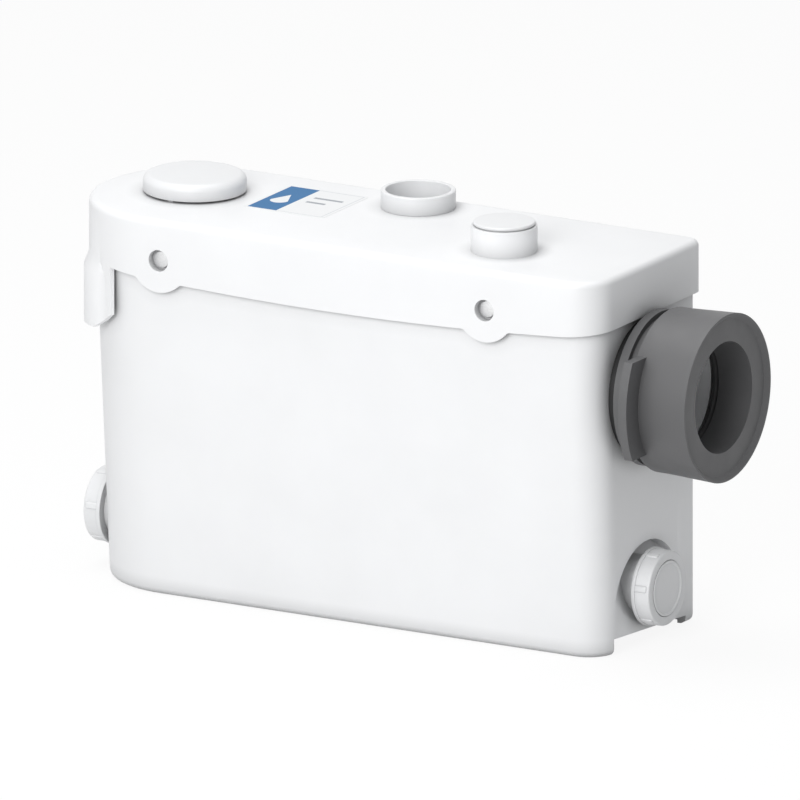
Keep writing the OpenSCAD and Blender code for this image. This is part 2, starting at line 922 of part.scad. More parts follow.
nut_shoulder = 3.5;
disc_flange_t = 2.5;
washer_t = 2;
nut_flange_t = 3;
rib_out = 1;
nut_bore_r = neck_r + slide_fit;
disc_flange_r = neck_r - 0.1;
rib_phase = 50;
spot_fit = 0.8;
function neck_end(face_out) = face_out - nut_shoulder - disc_flange_t - washer_t;

module union_nut(face_out) {
    from = face_out - nut_l;
    body_r = nut_flange_r - 0.9;
    rib_end = face_out - 2;
    rib_h = nut_face_r + rib_out - nut_bore_r - root;
    color(white)
        difference() {
            union() {
                turned_x([
                    [0, from], [nut_flange_r, from], [nut_flange_r, from + nut_flange_t - 0.5],
                    [nut_flange_r - 0.5, from + nut_flange_t], [body_r, from + nut_flange_t],
                    [nut_face_r, face_out - 1], [nut_face_r - 1, face_out], [0, face_out]]);
                for (i = [0 : nut_ribs - 1])
                    rotate([rib_phase + 360 * i / nut_ribs, 0, 0])
                        translate([from + 1, nut_bore_r + root, -rib_half_w])
                            cube([rib_end - from - 1, rib_h, 2 * rib_half_w]);
            }
            rod_x(nut_bore_r, from - past, face_out - nut_shoulder);
            rod_x(nut_hole_r, from, face_out + past);
        }
}

module blank_disc(face_out) {
    back = face_out - nut_shoulder - disc_flange_t;
    boss = nut_hole_r - seat_fit;
    color(white)
        turned_x([
            [0, back], [disc_flange_r, back], [disc_flange_r, face_out - nut_shoulder - 0.05],
            [boss, face_out - nut_shoulder - 0.05], [boss, face_out],
            [boss - 0.5, face_out + disc_out], [boss - 1.6, face_out + disc_out],
            [boss - 2.4, face_out - 0.5], [0, face_out - 0.5]]);
}

module inlet_washer(face_out) {
    end = neck_end(face_out);
    color(rubber)
        turned_x([
            [neck_bore_r, end], [disc_flange_r, end], [disc_flange_r, end + washer_t],
            [neck_bore_r, end + washer_t]]);
}

// Ball that scoops out the pocket round an inlet
scoop_ball = (scoop_r ^ 2 + scoop_depth ^ 2) / (2 * scoop_depth);
module pocket(grow) {
    intersection() {
        translate([0, 0, -pocket_arch_drop])
            rod_x(pocket_arch_r + grow, -3 * scoop_depth, 2 * scoop_depth);
        translate([scoop_ball - scoop_depth, 0, scoop_rise])
            sphere(r = scoop_ball + grow, $fn = 180);
    }
}

spot_r = nut_flange_r + 1.5;
module spot_face(face_out) {
    rod_x(spot_r, min(face_out - nut_l - spot_fit, past), 2 * scoop_depth);
}

hinge_r = 2;
ear_w = 3.5;
ear_y = 8;
ear_reach = hinge_r + 1.4;
hinge_x = -seat_in - seat_fit - flap_t / 2;
hinge_rise = flap_r + hinge_r + 1.5;
module inlet_neck(face_out) {
    rod_x(neck_r, -seat_in, neck_end(face_out));
    for (side = [-1, 1])
        mirror([0, side < 0 ? 1 : 0, 0])
            translate([hinge_x - ear_reach, ear_y, neck_r - 6])
                cube([ear_reach + 6, ear_w, hinge_rise + ear_reach - neck_r + 6]);
}

module inlet_bores(face_out) {
    rod_x(neck_bore_r, -seat_in - past, face_out);
    translate([hinge_x, 0, hinge_rise])
        rod_y(hinge_r + run_fit, -ear_y - ear_w - past, ear_y + ear_w + past);
    translate([hinge_x - 5, -ear_y - ear_w - past, -neck_r])
        cube([5 - hinge_x - seat_in, 2 * (ear_y + ear_w + past), neck_r + hinge_rise - ear_reach]);
}

module inlet_flap() {
    color(rubber) {
        translate([hinge_x - flap_t / 2, 0, 0])
            rod_x(flap_r, 0, flap_t);
        translate([hinge_x - flap_t / 2, -ear_y + 1, flap_r / 2])
            cube([flap_t, 2 * ear_y - 2, hinge_rise - flap_r / 2]);
        translate([hinge_x, 0, hinge_rise])
            rod_y(hinge_r, -ear_y - ear_w - root, ear_y + ear_w + root);
    }
}

module left_union_nut() {
    at_left_inlet()
        union_nut(left_face_out);
}

module right_union_nut() {
    at_right_inlet()
        union_nut(right_face_out);
}

module left_blank_disc() {
    at_left_inlet()
        blank_disc(left_face_out);
}

module right_blank_disc() {
    at_right_inlet()
        blank_disc(right_face_out);
}

module left_washer() {
    at_left_inlet()
        inlet_washer(left_face_out);
}

module right_washer() {
    at_right_inlet()
        inlet_washer(right_face_out);
}

module left_inlet_flap() {
    at_left_inlet()
        inlet_flap();
}

module right_inlet_flap() {
    at_right_inlet()
        inlet_flap();
}

// Cable gland, along the hood's direction

gland_drop = 70;
gland_z = lid_top - gland_drop;
gland_face = lid_r - 5;
gland_boss_r = 14;
gland_thread_r = 8;
gland_boss_in = 12;
gland_nut_t = 6;
module at_gland() {
    at_hood()
        translate([0, 0, gland_z])
            children();
}

module cable_gland() {
    out = lid_r + bulge_out - hood_wall - gland_face - 1.8;
    inner = gland_face - gland_boss_in - gland_nut_t - 2;
    color(rubber)
        at_gland()
            difference() {
                union() {
                    translate([gland_face, 0, 0])
                        rotate([0, 90, 0])
                            cylinder(r = gland_thread_r + 1.5, h = out, $fn = 6);
                    rod_x(gland_thread_r - 0.1, inner, gland_face + root);
                }
                rod_x(gland_thread_r / 2, gland_face - 3 * gland_boss_in, lid_r * 2);
            }
}

module gland_nut() {
    back = gland_face - gland_boss_in;
    color(rubber)
        at_gland()
            difference() {
                translate([back - gland_nut_t, 0, 0])
                    rotate([0, 90, 0])
                        cylinder(r = gland_boss_r - 2, h = gland_nut_t, $fn = 6);
                rod_x(gland_thread_r, back - gland_nut_t - past, back + past);
            }
}

// Tank

underside_rib_t = 3;
underside_rib_end = 50;
foot_in = foot_r + 2;
screw_boss_r = cup_r + slide_fit + 2.5;
screw_boss_l = 16;
pump_post_r = 7;
pump_screw_r = 2;
post_out = 5;
post_angles = [20, 150, 215, 325];

module at_posts() {
    at_pump()
        for (a = post_angles)
            rotate([0, 0, a])
                translate([spiral_at(a) + volute_wall + post_out, 0, 0])
                    children();
}

module tank_outside(inset) {
    loft(concat(
        [for (i = [0 : edge_n])
            let (a = 90 * i / edge_n)
            tank_ring(inset + foot_r * (1 - sin(a)) * (inset > 0 ? 0 : 1), foot_r * (1 - cos(a)))],
        [tank_ring(inset, rim_z)]));
}

module tank_shell() {
    difference() {
        tank_outside(0);
        loft([tank_ring(tank_wall, floor_z), tank_ring(tank_wall, rim_z + past)]);
        difference() {
            loft([tank_ring(foot_in, -past), tank_ring(foot_in, floor_lift)]);
            underside_ribs();
        }
    }
}

// Stiffening ribs in the hollow under the floor
module underside_ribs() {
    for (i = [1 : 3])
        translate([lid_left + lid_l * i / 4, -lid_r, underside_rib_t])
            cube([underside_rib_t, lid_w, floor_lift]);
    translate([lid_left, -underside_rib_t / 2, underside_rib_t])
        cube([lid_l - underside_rib_end, underside_rib_t, floor_lift]);
}

module pocket_backs() {
    intersection() {
        loft([tank_ring(past, floor_lift + past), tank_ring(past, rim_z)]);
        union() {
            at_right_inlet()
                pocket(tank_wall);
            at_left_inlet() {
                pocket(tank_wall);
                rod_x(spot_r + tank_wall, -2.5 * tank_wall, 0);
            }
            at_lid_screws()
                rod_y(screw_boss_r, 0, cup_l + screw_boss_l);
        }
    }
}

module tank_cuts() {
    at_right_inlet() {
        pocket(0);
        spot_face(right_face_out);
    }
    at_left_inlet() {
        pocket(0);
        spot_face(left_face_out);
    }
    at_lid_screws()
        rod_y(cup_r + slide_fit, -past, cup_l + slide_fit);
    translate([wall_x - foot_in - past, cut_y - cut_w / 2, 0])
        rotate([90, 0, 90])
            linear_extrude(foot_in + 2 * past)
                polygon([[0, -past], [cut_w, -past], [cut_w, cut_back_h], [0, cut_h]]);
}

module tank_bores() {
    at_right_inlet()
        inlet_bores(right_face_out);
    at_left_inlet()
        inlet_bores(left_face_out);
    at_wc()
        rod_x(wc_neck_r - wc_neck_wall, -2 * tank_wall, wc_neck_out + past);
    at_lid_screws()
        rod_y(screw_shank_r + 0.02, cup_l - past, cup_l + screw_shank_l + past);
    at_posts()
        translate([0, 0, floor_z - 1])
            cylinder(r = pump_screw_r, h = post_h + 2);
    at_gland()
        rod_x(gland_thread_r, gland_face - 2 * gland_boss_in, gland_face + past);
}

module tank() {
    color(white)
        difference() {
            union() {
                difference() {
                    union() {
                        tank_shell();
                        pocket_backs();
                    }
                    tank_cuts();
                }
                at_right_inlet()
                    inlet_neck(right_face_out);
                at_left_inlet()
                    inlet_neck(left_face_out);
                at_wc() {
                    rod_x(wc_neck_r, -tank_wall + root, wc_neck_out);
                    for (a = [0 : 120 : 240])
                        sector_x(wc_neck_r - root, wc_neck_r + bayonet_h, bayonet_from,
                            bayonet_from + bayonet_w, a - bayonet_span / 2, a + bayonet_span / 2);
                }
                at_posts()
                    translate([0, 0, floor_z - root])
                        cylinder(r = pump_post_r, h = post_h + root);
                at_gland()
                    rod_x(gland_boss_r, gland_face - gland_boss_in, gland_face);
            }
            tank_bores();
        }
}

// Pump, from the floor upwards

// Radius of the spiral at a plan angle, growing once round from spiral_from
spiral_from = 93;
spiral_step = 3;
spiral_turn = 360 - spiral_step;
spiral_grow = discharge_y + outlet_r + root - spiral_r;
function spiral_at(a) = spiral_r + spiral_grow * ((a + 360 - spiral_from) % 360) / spiral_turn;

function spiral(grow) = [for (a = [spiral_from : spiral_step : spiral_from + spiral_turn])
    (spiral_at(a) + grow) * [cos(a), sin(a)]];

lug_r = 6;
lug_l = 20;
module at_rods() {
    at_pump()
        for (a = [60, 190, 300])
            rotate([0, 0, a])
                translate([max(basket_r, spiral_at(a) + volute_wall) + rod_out, 0, 0])
                    children();
}

module rod_lugs(z, t) {
    at_rods()
        translate([0, 0, z]) {
            cylinder(r = lug_r, h = t);
            translate([-lug_l, -lug_r, 0])
                cube([lug_l, 2 * lug_r, t]);
        }
}

rod_lug_t = 8;
lug_step = 0.5;
rod_lug_z = plate_z - rod_lug_t - lug_step;
elbow_top = plate_z + 6;
tail_l = 18;
module volute() {
    elbow_x = discharge_x - pump_x;
    pipe_r = chamber_h / 2 - 0.1;
    elbow_r = pipe_r + 1;
    color(grey_plastic)
        difference() {
            union() {
                at_pump()
                    translate([0, 0, volute_z + lug_step])
                        linear_extrude(plate_z - volute_z - lug_step)
                            polygon(spiral(volute_wall));
                translate([pump_x, discharge_y, outlet_z])
                    rod_x(pipe_r, elbow_x, outlet_r);
                at_discharge() {
                    translate([0, 0, outlet_z - elbow_r])
                        cylinder(r = elbow_r, h = elbow_top - outlet_z + elbow_r);
                    translate([0, 0, elbow_top - past])
                        cylinder(r = tail_r, h = tail_l + past);
                }
                at_posts()
                    translate([0, 0, volute_z])
                        cylinder(r = pump_post_r, h = rod_lug_t);
                rod_lugs(rod_lug_z, rod_lug_t);
            }
            at_pump()
                translate([0, 0, chamber_z])
                    linear_extrude(chamber_h + past)
                        polygon(spiral(0));
            translate([pump_x, discharge_y, outlet_z])
                rod_x(outlet_r, elbow_x, outlet_r / 2);
            at_discharge()
                translate([0, 0, outlet_z - outlet_r - 0.5])
                    cylinder(r = outlet_r + 0.5, h = elbow_top + tail_l);
            at_posts()
                translate([0, 0, volute_z - past])
                    cylinder(r = pump_screw_r + slide_fit, h = rod_lug_t + 2 * past);
            at_rods()
                translate([0, 0, rod_lug_z - past])
                    cylinder(r = rod_r, h = rod_lug_t + 2 * past);
        }
}

pump_screw_head_t = 3;
module pump_screws() {
    color(steel)
        at_posts() {
            translate([0, 0, floor_z])
                cylinder(r = pump_screw_r - 0.02, h = post_h + rod_lug_t + root);
            translate([0, 0, volute_z + rod_lug_t])
                cylinder(r = 2 * pump_screw_r, h = pump_screw_head_t);
        }
}

plate_hole_r = shaft_r + 1;
module cutting_plate() {
    color(steel)
        at_pump()
            difference() {
                translate([0, 0, plate_z])
                    linear_extrude(cut_plate_t)
                        union() {
                            circle(r = basket_r + 1);
                            polygon(spiral(volute_wall - root));
                        }
                translate([0, 0, plate_z - past])
                    cylinder(r = plate_hole_r, h = cut_plate_t + 2 * past);
                for (a = [0 : 30 : 330])
                    rotate([0, 0, a])
                        translate([plate_hole_r + 7, -2, plate_z - past])
                            cube([impeller_r - plate_hole_r - 12, 4, cut_plate_t + 2 * past]);
            }
}

// Curved vane in plan
vane_t = 2.5;
vane_r = 22;
hub_r = 9;
shaft_low = chamber_z + 1.5;
nut_t = 5;
nut_low = shaft_low + 0.5;
hub_low = nut_low + nut_t;
disc_t = 3;
module impeller() {
    vane_top = plate_z - 2;
    color(grey_plastic)
        at_pump()
            difference() {
                union() {
                    translate([0, 0, hub_low])
                        cylinder(r = impeller_r, h = disc_t);
                    translate([0, 0, hub_low])
                        cylinder(r = hub_r, h = vane_top - hub_low);
                    intersection() {
                        translate([0, 0, hub_low])
                            cylinder(r = impeller_r, h = vane_top - hub_low);
                        for (i = [0 : vanes - 1])
                            rotate([0, 0, 360 * i / vanes])
                                translate([vane_r - 1, 0, 0])
                                    tube(vane_r, vane_r - vane_t, hub_low + 1, vane_top);
                    }
                }
                translate([0, 0, hub_low - past])
                    cylinder(r = shaft_r + 0.02, h = chamber_h);
            }
}

module impeller_nut() {
    color(steel)
        at_pump()
            difference() {
                translate([0, 0, nut_low])
                    cylinder(r = shaft_r + 4, h = nut_t - 0.02, $fn = 6);
                translate([0, 0, nut_low - past])
                    cylinder(r = shaft_r + 0.02, h = nut_t + 2 * past);
            }
}

cutter_gap = 0.6;
cutter_t = 4;
knife_h = 22;
knife_t = 4;
bar = 14;
module cutter() {
    low = basket_z + cutter_gap;
    color(steel)
        at_pump()
            difference() {
                union() {
                    translate([0, 0, low])
                        cylinder(r = shaft_r + 6, h = knife_h);
                    for (side = [0, 180])
                        rotate([0, 0, side]) {
                            translate([0, 0, low])
                                linear_extrude(cutter_t)
                                    polygon([
                                        [0, -bar / 2], [cutter_r, -bar / 4],
                                        [cutter_r, bar / 8], [0, bar / 2]]);
                            translate([cutter_r - knife_t, 0, low])
                                linear_extrude(knife_h)
                                    polygon([
                                        [0, -bar / 4], [knife_t, -bar / 4],
                                        [knife_t, bar / 8], [knife_t / 2, bar / 8]]);
                        }
                }
                translate([0, 0, low - past])
                    cylinder(r = shaft_r + 0.02, h = knife_h + 2 * past);
            }
}

// Basket with its inlet trough, which slopes from the WC neck down to the cutter
trough_wall = 3;
trough_sill = 8;
trough_x0 = basket_r - 6;
trough_x1 = wall_x - tank_wall - pump_x;
trough_z0 = basket_z + trough_sill;
trough_z1 = wc_z - wc_neck_r + wc_neck_wall - 10;
module trough(half_w, low, past_end) {
    rotate([90, 0, 0])
        translate([0, 0, -half_w])
            linear_extrude(2 * half_w)
                polygon([
                    [trough_x0 - past_end, trough_z0 - low], [trough_x1 + past_end, trough_z1 - low],
                    [trough_x1 + past_end, trough_z1 + trough_h + past_end],
                    [trough_x0 - past_end, trough_z0 + trough_h + past_end]]);
}

module basket() {
    inner = basket_r - basket_wall;
    slot_h = basket_h - 24;
    color(grey_plastic)
        at_pump()
            difference() {
                union() {
                    translate([0, 0, basket_z])
                        cylinder(r = basket_r, h = basket_h);
                    trough(trough_half_w + trough_wall, trough_wall, 0);
                }
                translate([0, 0, basket_z - past])
                    cylinder(r = inner, h = basket_h + 2 * past);
                trough(trough_half_w, 0, past);
                for (i = [0 : basket_slots - 1])
                    let (a = 60 + 240 * i / (basket_slots - 1))
                    rotate([0, 0, a])
                        translate([inner - past, -1.5, basket_z + 12])
                            cube([basket_wall + 2 * past, 3, slot_h]);
            }
}

// Motor

bearing_low = bracket_z + bracket_t - 2;
seal_r = 13;
module motor_bracket() {
    housing_r = bearing_r + 4;
    color(grey_plastic)
        difference() {
            union() {
                at_pump() {
                    translate([0, 0, bracket_z])
                        cylinder(r = basket_r, h = bracket_t);
                    translate([0, 0, bracket_z])
                        cylinder(r = housing_r, h = bracket_t + bearing_w);
                }
                rod_lugs(bracket_z, bracket_t);
            }
            at_pump() {
                translate([0, 0, bearing_low])
                    cylinder(r = bearing_r, h = bearing_w * 2);
                translate([0, 0, bracket_z - past])
                    cylinder(r = seal_r, h = bracket_t - 2);
                translate([0, 0, bracket_z - past])
                    cylinder(r = shaft_r + 1, h = 2 * bracket_t);
            }
            at_rods()
                translate([0, 0, bracket_z - past])
                    cylinder(r = rod_r, h = bracket_t + 2 * past);
        }
}

rod_nut_t = 4;
module tie_rods() {
    color(steel)
        at_rods() {
            translate([0, 0, rod_lug_z - root])
                cylinder(r = rod_r - 0.02, h = bracket_z + bracket_t - rod_lug_z + rod_nut_t);
            for (z = [rod_lug_z - rod_nut_t, bracket_z + bracket_t])
                translate([0, 0, z])
                    cylinder(r = rod_r + 2, h = rod_nut_t, $fn = 6);
        }
}

module shaft_seal() {
    color(rubber)
        at_pump()
            tube(seal_r - 0.02, shaft_r + run_fit, bracket_z, bracket_z + bracket_t - 3 - 0.02);
}

module bearing(z) {
    race = (bearing_r + shaft_r) / 2;
    color(steel)
        at_pump()
            rotate_extrude($fn = 96)
                difference() {
                    translate([shaft_r + run_fit, z])
                        square([bearing_r - shaft_r - run_fit - 0.02, bearing_w]);
                    for (end = [z, z + bearing_w])
                        translate([race, end])
                            circle(r = 1.6, $fn = 32);
                }
}

upper_bearing_z = end_cap_z + 1;
module lower_bearing() {
    bearing(bearing_low);
}

module upper_bearing() {
    bearing(upper_bearing_z);
}

module motor_can() {
    color(steel)
        at_pump()
            tube(can_r, can_r - can_wall, can_z, end_cap_z);
}

module motor_end_cap() {
    color(grey_plastic)
        at_pump()
            difference() {
                union() {
                    translate([0, 0, end_cap_z])
                        cylinder(r = can_r, h = end_cap_t / 2);
                    translate([0, 0, end_cap_z])
                        cylinder(r = bearing_r + 5, h = end_cap_t);
                    for (a = [0 : 45 : 315])
                        rotate([0, 0, a])
                            translate([bearing_r, -1.2, end_cap_z])
                                cube([can_r - bearing_r - 4, 2.4, end_cap_t - 3]);
                }
                translate([0, 0, end_cap_z - past])
                    cylinder(r = bearing_r, h = past + 1 + bearing_w);
            }
}

stack_z = can_z + (can_h - stack_h) / 2;
module stator() {
    outer = can_r - can_wall - 0.02;
    color(steel)
        at_pump() {
            tube(outer, stator_bore_r, stack_z, stack_z + stack_h);
            for (z = [stack_z - 12, stack_z + stack_h - root])
                tube(outer - 4, stator_bore_r + 3, z, z + 12 + root);
        }
}

module rotor() {
    r = stator_bore_r - air_gap;
    color(steel)
        at_pump() {
            tube(r, shaft_r + 0.02, stack_z, stack_z + stack_h);
            for (z = [stack_z - 5, stack_z + stack_h - root])
                tube(r - 2, shaft_r + 6, z, z + 5 + root);
        }
}

module shaft() {
    color(steel)
        at_pump()
            translate([0, 0, shaft_low])
                cylinder(r = shaft_r, h = upper_bearing_z + bearing_w - 1 - shaft_low);
}

// Discharge line with its non-return valve

valve_low = elbow_top;
seat_low = elbow_top + tail_l + 0.5;
seat_t = 4;
chamber_low = seat_low + seat_t;
chamber_top = chamber_low + valve_h;
valve_top = chamber_top + 24;
seat_r = valve_flap_r - 3;
module valve_housing() {
    r = valve_r + valve_wall;
    socket = tail_r + 0.1;
    color(grey_plastic)
        difference() {
            at_discharge()
                rotate_extrude($fn = 96)
                    polygon([
                        [socket, valve_low], [socket + 3.5, valve_low], [socket + 3.5, seat_low - 4],
                        [r, seat_low], [r, chamber_top], [tail_r, chamber_top + 5], [tail_r, valve_top],
                        [tail_bore, valve_top], [tail_bore, chamber_top + 3], [valve_r, chamber_top - 2],
                        [valve_r, chamber_low], [seat_r, chamber_low], [seat_r, seat_low],
                        [socket, seat_low]]);
            at_flap_pin()
                rod_x(pin_r + 0.02, -valve_r, valve_r);
        }
}

pin_r = 1.25;
barrel_out_r = 2.6;
pin_back = valve_flap_r + 1;
pin_z = chamber_low + seat_fit + barrel_out_r;
pin_half_l = sqrt(valve_r ^ 2 - pin_back ^ 2) + valve_wall / 2;
module at_flap_pin() {
    translate([discharge_x, discharge_y - pin_back, pin_z])
        children();
}

module flap_pin() {
    color(steel)
        at_flap_pin()
            rod_x(pin_r, -pin_half_l, pin_half_l);
}

module valve_flap() {
    half = 7;
    low = chamber_low + seat_fit;
    color(rubber)
        difference() {
            union() {
                at_discharge()
                    translate([0, 0, low])
                        cylinder(r = valve_flap_r, h = valve_flap_t);
                translate([discharge_x - half, discharge_y - pin_back, low])
                    cube([2 * half, pin_back, valve_flap_t]);
                at_flap_pin()
                    rod_x(barrel_out_r, -half, half);
            }
            at_flap_pin()
                rod_x(pin_r + run_fit, -half - past, half + past);
        }
}

hose_r = tail_r + 0.1 + hose_wall;
hose_low = chamber_top + 6;
hose_top = tail_z - 1;
module discharge_hose() {
    color(rubber)
        at_discharge()
            tube(hose_r, tail_r + 0.1, hose_low, hose_top);
}

clamp_w = 9;
module hose_clamps() {
    color(steel)
        at_discharge()
            for (z = [hose_low + 4, hose_top - 4 - clamp_w])
                difference() {
                    union() {
                        translate([0, 0, z])
                            cylinder(r = hose_r + 1.2, h = clamp_w);
                        translate([-8, -hose_r - 6, z])
                            cube([16, 8, clamp_w]);
                    }
                    translate([0, 0, z - past])
                        cylinder(r = hose_r + 0.05, h = clamp_w + 2 * past);
                }
}

// Control box under the lid

control_screw_r = 1.6;
cover_t = 3;
cover_z = boss_z - cover_t;
control_top = cover_z;
control_z = control_top - control_h;
ear_t = 4;
tray_z = control_z + control_wall;
switch_y = -control_half_w / 2;
module at_control() {
    translate([control_x, 0, 0])
        children();
}

module control_plan(half_l, half_w, z, h) {
    at_control()
        translate([-half_l, -half_w, z])
            cube([2 * half_l, 2 * half_w, h]);
}

module boss_plates(z, t) {
    at_bosses()
        translate([0, 0, z])
            cylinder(r = boss_r, h = t);
    at_bosses()
        translate([-boss_r, -boss_r, z])
            cube([2 * boss_r, 2 * boss_r, t]);
}

module boss_drills(z, t) {
    at_bosses()
        translate([0, 0, z - past])
            cylinder(r = control_screw_r + 0.2, h = t + 2 * past);
}

board_post_h = 5;
board_t = 1.6;
board_half_l = control_half_l - control_wall - 3;
board_half_w = 20;
board_y = control_half_w - control_wall - board_half_w - 2;
module at_board_posts() {
    at_control()
        for (sx = [-1, 1], sy = [-1, 1])
            translate([sx * (board_half_l - 4), board_y + sy * (board_half_w - 4), 0])
                children();
}

nipple_r = 5;
module control_box() {
    color(grey_plastic)
        difference() {
            union() {
                difference() {
                    union() {
                        control_plan(control_half_l, control_half_w, control_z, control_h);
                        boss_plates(control_top - ear_t, ear_t);
                    }
                    control_plan(control_half_l - control_wall, control_half_w - control_wall,
                        tray_z, control_h);
                }
                at_board_posts()
                    translate([0, 0, tray_z - root])
                        cylinder(r = 3, h = board_post_h + root);
            }
            boss_drills(control_top - ear_t, ear_t);
            at_control()
                translate([0, switch_y, control_z - past])
                    cylinder(r = nipple_r + 0.1, h = control_wall + 2 * past);
        }
}

module control_cover() {
    color(grey_plastic)
        difference() {
            union() {
                control_plan(control_half_l, control_half_w, cover_z, cover_t);
                boss_plates(cover_z, cover_t);
            }
            boss_drills(cover_z, cover_t);
        }
}

module control_screws() {
    low = control_top - ear_t;
    head_t = 2.5;
    color(steel)
        at_bosses() {
            translate([0, 0, low - head_t])
                cylinder(r = 3.4, h = head_t);
            translate([0, 0, low - root])
                cylinder(r = control_screw_r - 0.02, h = ear_t + cover_t + boss_l / 2);
        }
}

board_z = tray_z + board_post_h;
relay_l = 12;
relay_w = 9;
relay_h = 11;
module circuit_board() {
    color(board_green)
        at_control() {
            translate([-board_half_l, board_y - board_half_w, board_z])
                cube([2 * board_half_l, 2 * board_half_w, board_t]);
            translate([-board_half_l + 4, board_y - board_half_w + 3, board_z + board_t - root])
                cube([relay_l, relay_w, relay_h]);
        }
}

capacitor_l = 44;
module capacitor() {
    color(white)
        at_control()
            translate([0, board_y + board_half_w - capacitor_r - 1, board_z + board_t + capacitor_r]) {
                rod_x(capacitor_r, -capacitor_l / 2, capacitor_l / 2);
                for (y = [-4, 4])
                    translate([0, y, 0])
                        rod_x(1.5, capacitor_l / 2 - root, capacitor_l / 2 + 5);
            }
}

plunger_r = 3;
plunger_l = 10;
plunger_stroke = 2.5;
module pressure_switch() {
    top = tray_z + switch_h;
    color(grey_plastic)
        at_control()
            translate([0, switch_y, 0])
                difference() {
                    union() {
                        translate([0, 0, tray_z])
                            cylinder(r = switch_r, h = switch_h * 0.6);
                        translate([0, 0, tray_z])
                            cylinder(r = switch_r - 5, h = switch_h);
                        translate([plunger_r + 2, -5, top - root])
                            cube([6, 10, 14 + root]);
                        translate([-plunger_r - 2, -5, top + plunger_l / 2 + plunger_stroke])
                            cube([2 * plunger_r + 6, 10, 14 - plunger_l / 2 - plunger_stroke]);
                    }
                    translate([0, 0, tray_z - past])
                        cylinder(r = nipple_r + 0.1, h = past + 6);
                    translate([0, 0, top - plunger_l])
                        cylinder(r = plunger_r + run_fit, h = plunger_l + past);
                }
}

module switch_plunger() {
    top = tray_z + switch_h;
    color(white)
        at_control()
            translate([0, switch_y, top - plunger_l / 2 - 2])
                cylinder(r = plunger_r, h = plunger_l - 1);
}

module dip_tube() {
    low = floor_z + dip_gap;
    flange_t = 3;
    color(grey_plastic)
        at_control()
            translate([0, switch_y, 0])
                rotate_extrude($fn = 64)
                    polygon([
                        [dip_r - 2.5, low], [dip_r, low], [dip_r, control_z - flange_t],
                        [dip_r + 4, control_z - flange_t], [dip_r + 4, control_z],
                        [nipple_r, control_z], [nipple_r, tray_z + 4], [nipple_r - 2.5, tray_z + 4],
                        [nipple_r - 2.5, control_z - flange_t], [dip_r - 2.5, control_z - 3 * flange_t]]);
}

tank();
lid();
lid_gasket();
lid_screws();
vent_cap();
vent_filter();
inlet_plug();
plug_seal();
discharge_socket();
discharge_hose();
hose_clamps();
valve_housing();
valve_flap();
flap_pin();
wc_sleeve();
wc_lip_seal();
wc_ring_seal();
left_union_nut();
left_blank_disc();
left_washer();
right_union_nut();
right_blank_disc();
right_washer();
left_inlet_flap();
right_inlet_flap();
motor_can();
motor_end_cap();
stator();
rotor();
shaft();
upper_bearing();
lower_bearing();
shaft_seal();
motor_bracket();
tie_rods();
basket();
cutter();
cutting_plate();
impeller();
impeller_nut();
volute();
pump_screws();
control_box();
control_cover();
control_screws();
circuit_board();
capacitor();
pressure_switch();
switch_plunger();
dip_tube();
cable_gland();
gland_nut();
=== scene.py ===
# %% [markdown]
# # A slim macerator toilet pump
# The object is a white moulded tank with a deep lid. A grey sleeve takes the pan's outlet, two capped
# inlets sit low on both ends, and the lid carries a vent cap, an open discharge socket and a plugged spigot.
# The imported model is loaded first: it gives every size and place, and nothing here moves it.

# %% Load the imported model
import json
import math

import bmesh
import bpy
from mathutils import Matrix, Vector


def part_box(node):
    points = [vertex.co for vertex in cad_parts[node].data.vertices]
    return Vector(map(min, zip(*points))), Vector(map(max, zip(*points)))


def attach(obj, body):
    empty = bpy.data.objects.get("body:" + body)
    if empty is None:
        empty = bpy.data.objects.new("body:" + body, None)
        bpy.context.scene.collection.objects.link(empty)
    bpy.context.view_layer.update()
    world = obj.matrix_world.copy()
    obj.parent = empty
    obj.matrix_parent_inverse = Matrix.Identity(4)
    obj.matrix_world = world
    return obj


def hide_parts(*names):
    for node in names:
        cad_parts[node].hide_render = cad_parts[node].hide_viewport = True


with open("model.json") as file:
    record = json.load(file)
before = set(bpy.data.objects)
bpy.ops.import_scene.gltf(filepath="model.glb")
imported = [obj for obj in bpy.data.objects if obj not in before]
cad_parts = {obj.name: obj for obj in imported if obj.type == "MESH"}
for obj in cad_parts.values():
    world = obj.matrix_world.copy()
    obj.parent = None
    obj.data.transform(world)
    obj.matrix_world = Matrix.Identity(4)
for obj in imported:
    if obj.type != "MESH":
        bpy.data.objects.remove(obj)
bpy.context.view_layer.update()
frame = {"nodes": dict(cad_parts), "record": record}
scene = bpy.context.scene
scene.view_settings.view_transform = "Standard"
MM = 0.001

# %% [markdown]
# ## Camera
# The view is a parallel projection, from 30 degrees to the right of the front and 15 degrees above. A very long
# lens would come close to it, from far away. An orthographic camera gives it exactly, and its scale is the width
# of the frame at the object.

# %% Camera
AZIMUTH = math.radians(30.2)
ELEVATION = math.radians(15.2)
AIM = Vector((-10.85, 0.0, 155.6)) * MM
FRAME_WIDTH = 583.9 * MM
CAMERA_DISTANCE = 2.0

camera_data = bpy.data.cameras.new("camera")
camera_data.type = "ORTHO"
camera_data.ortho_scale = FRAME_WIDTH
camera = bpy.data.objects.new("camera", camera_data)
scene.collection.objects.link(camera)
back = Vector((
    math.sin(AZIMUTH) * math.cos(ELEVATION),
    -math.cos(AZIMUTH) * math.cos(ELEVATION),
    math.sin(ELEVATION)))
camera.location = AIM + back * CAMERA_DISTANCE
camera.rotation_euler = (-back).to_track_quat("-Z", "Y").to_euler()
scene.camera = camera
print("camera at", [round(c, 3) for c in camera.location], "frame width in mm:", round(FRAME_WIDTH / MM, 1))

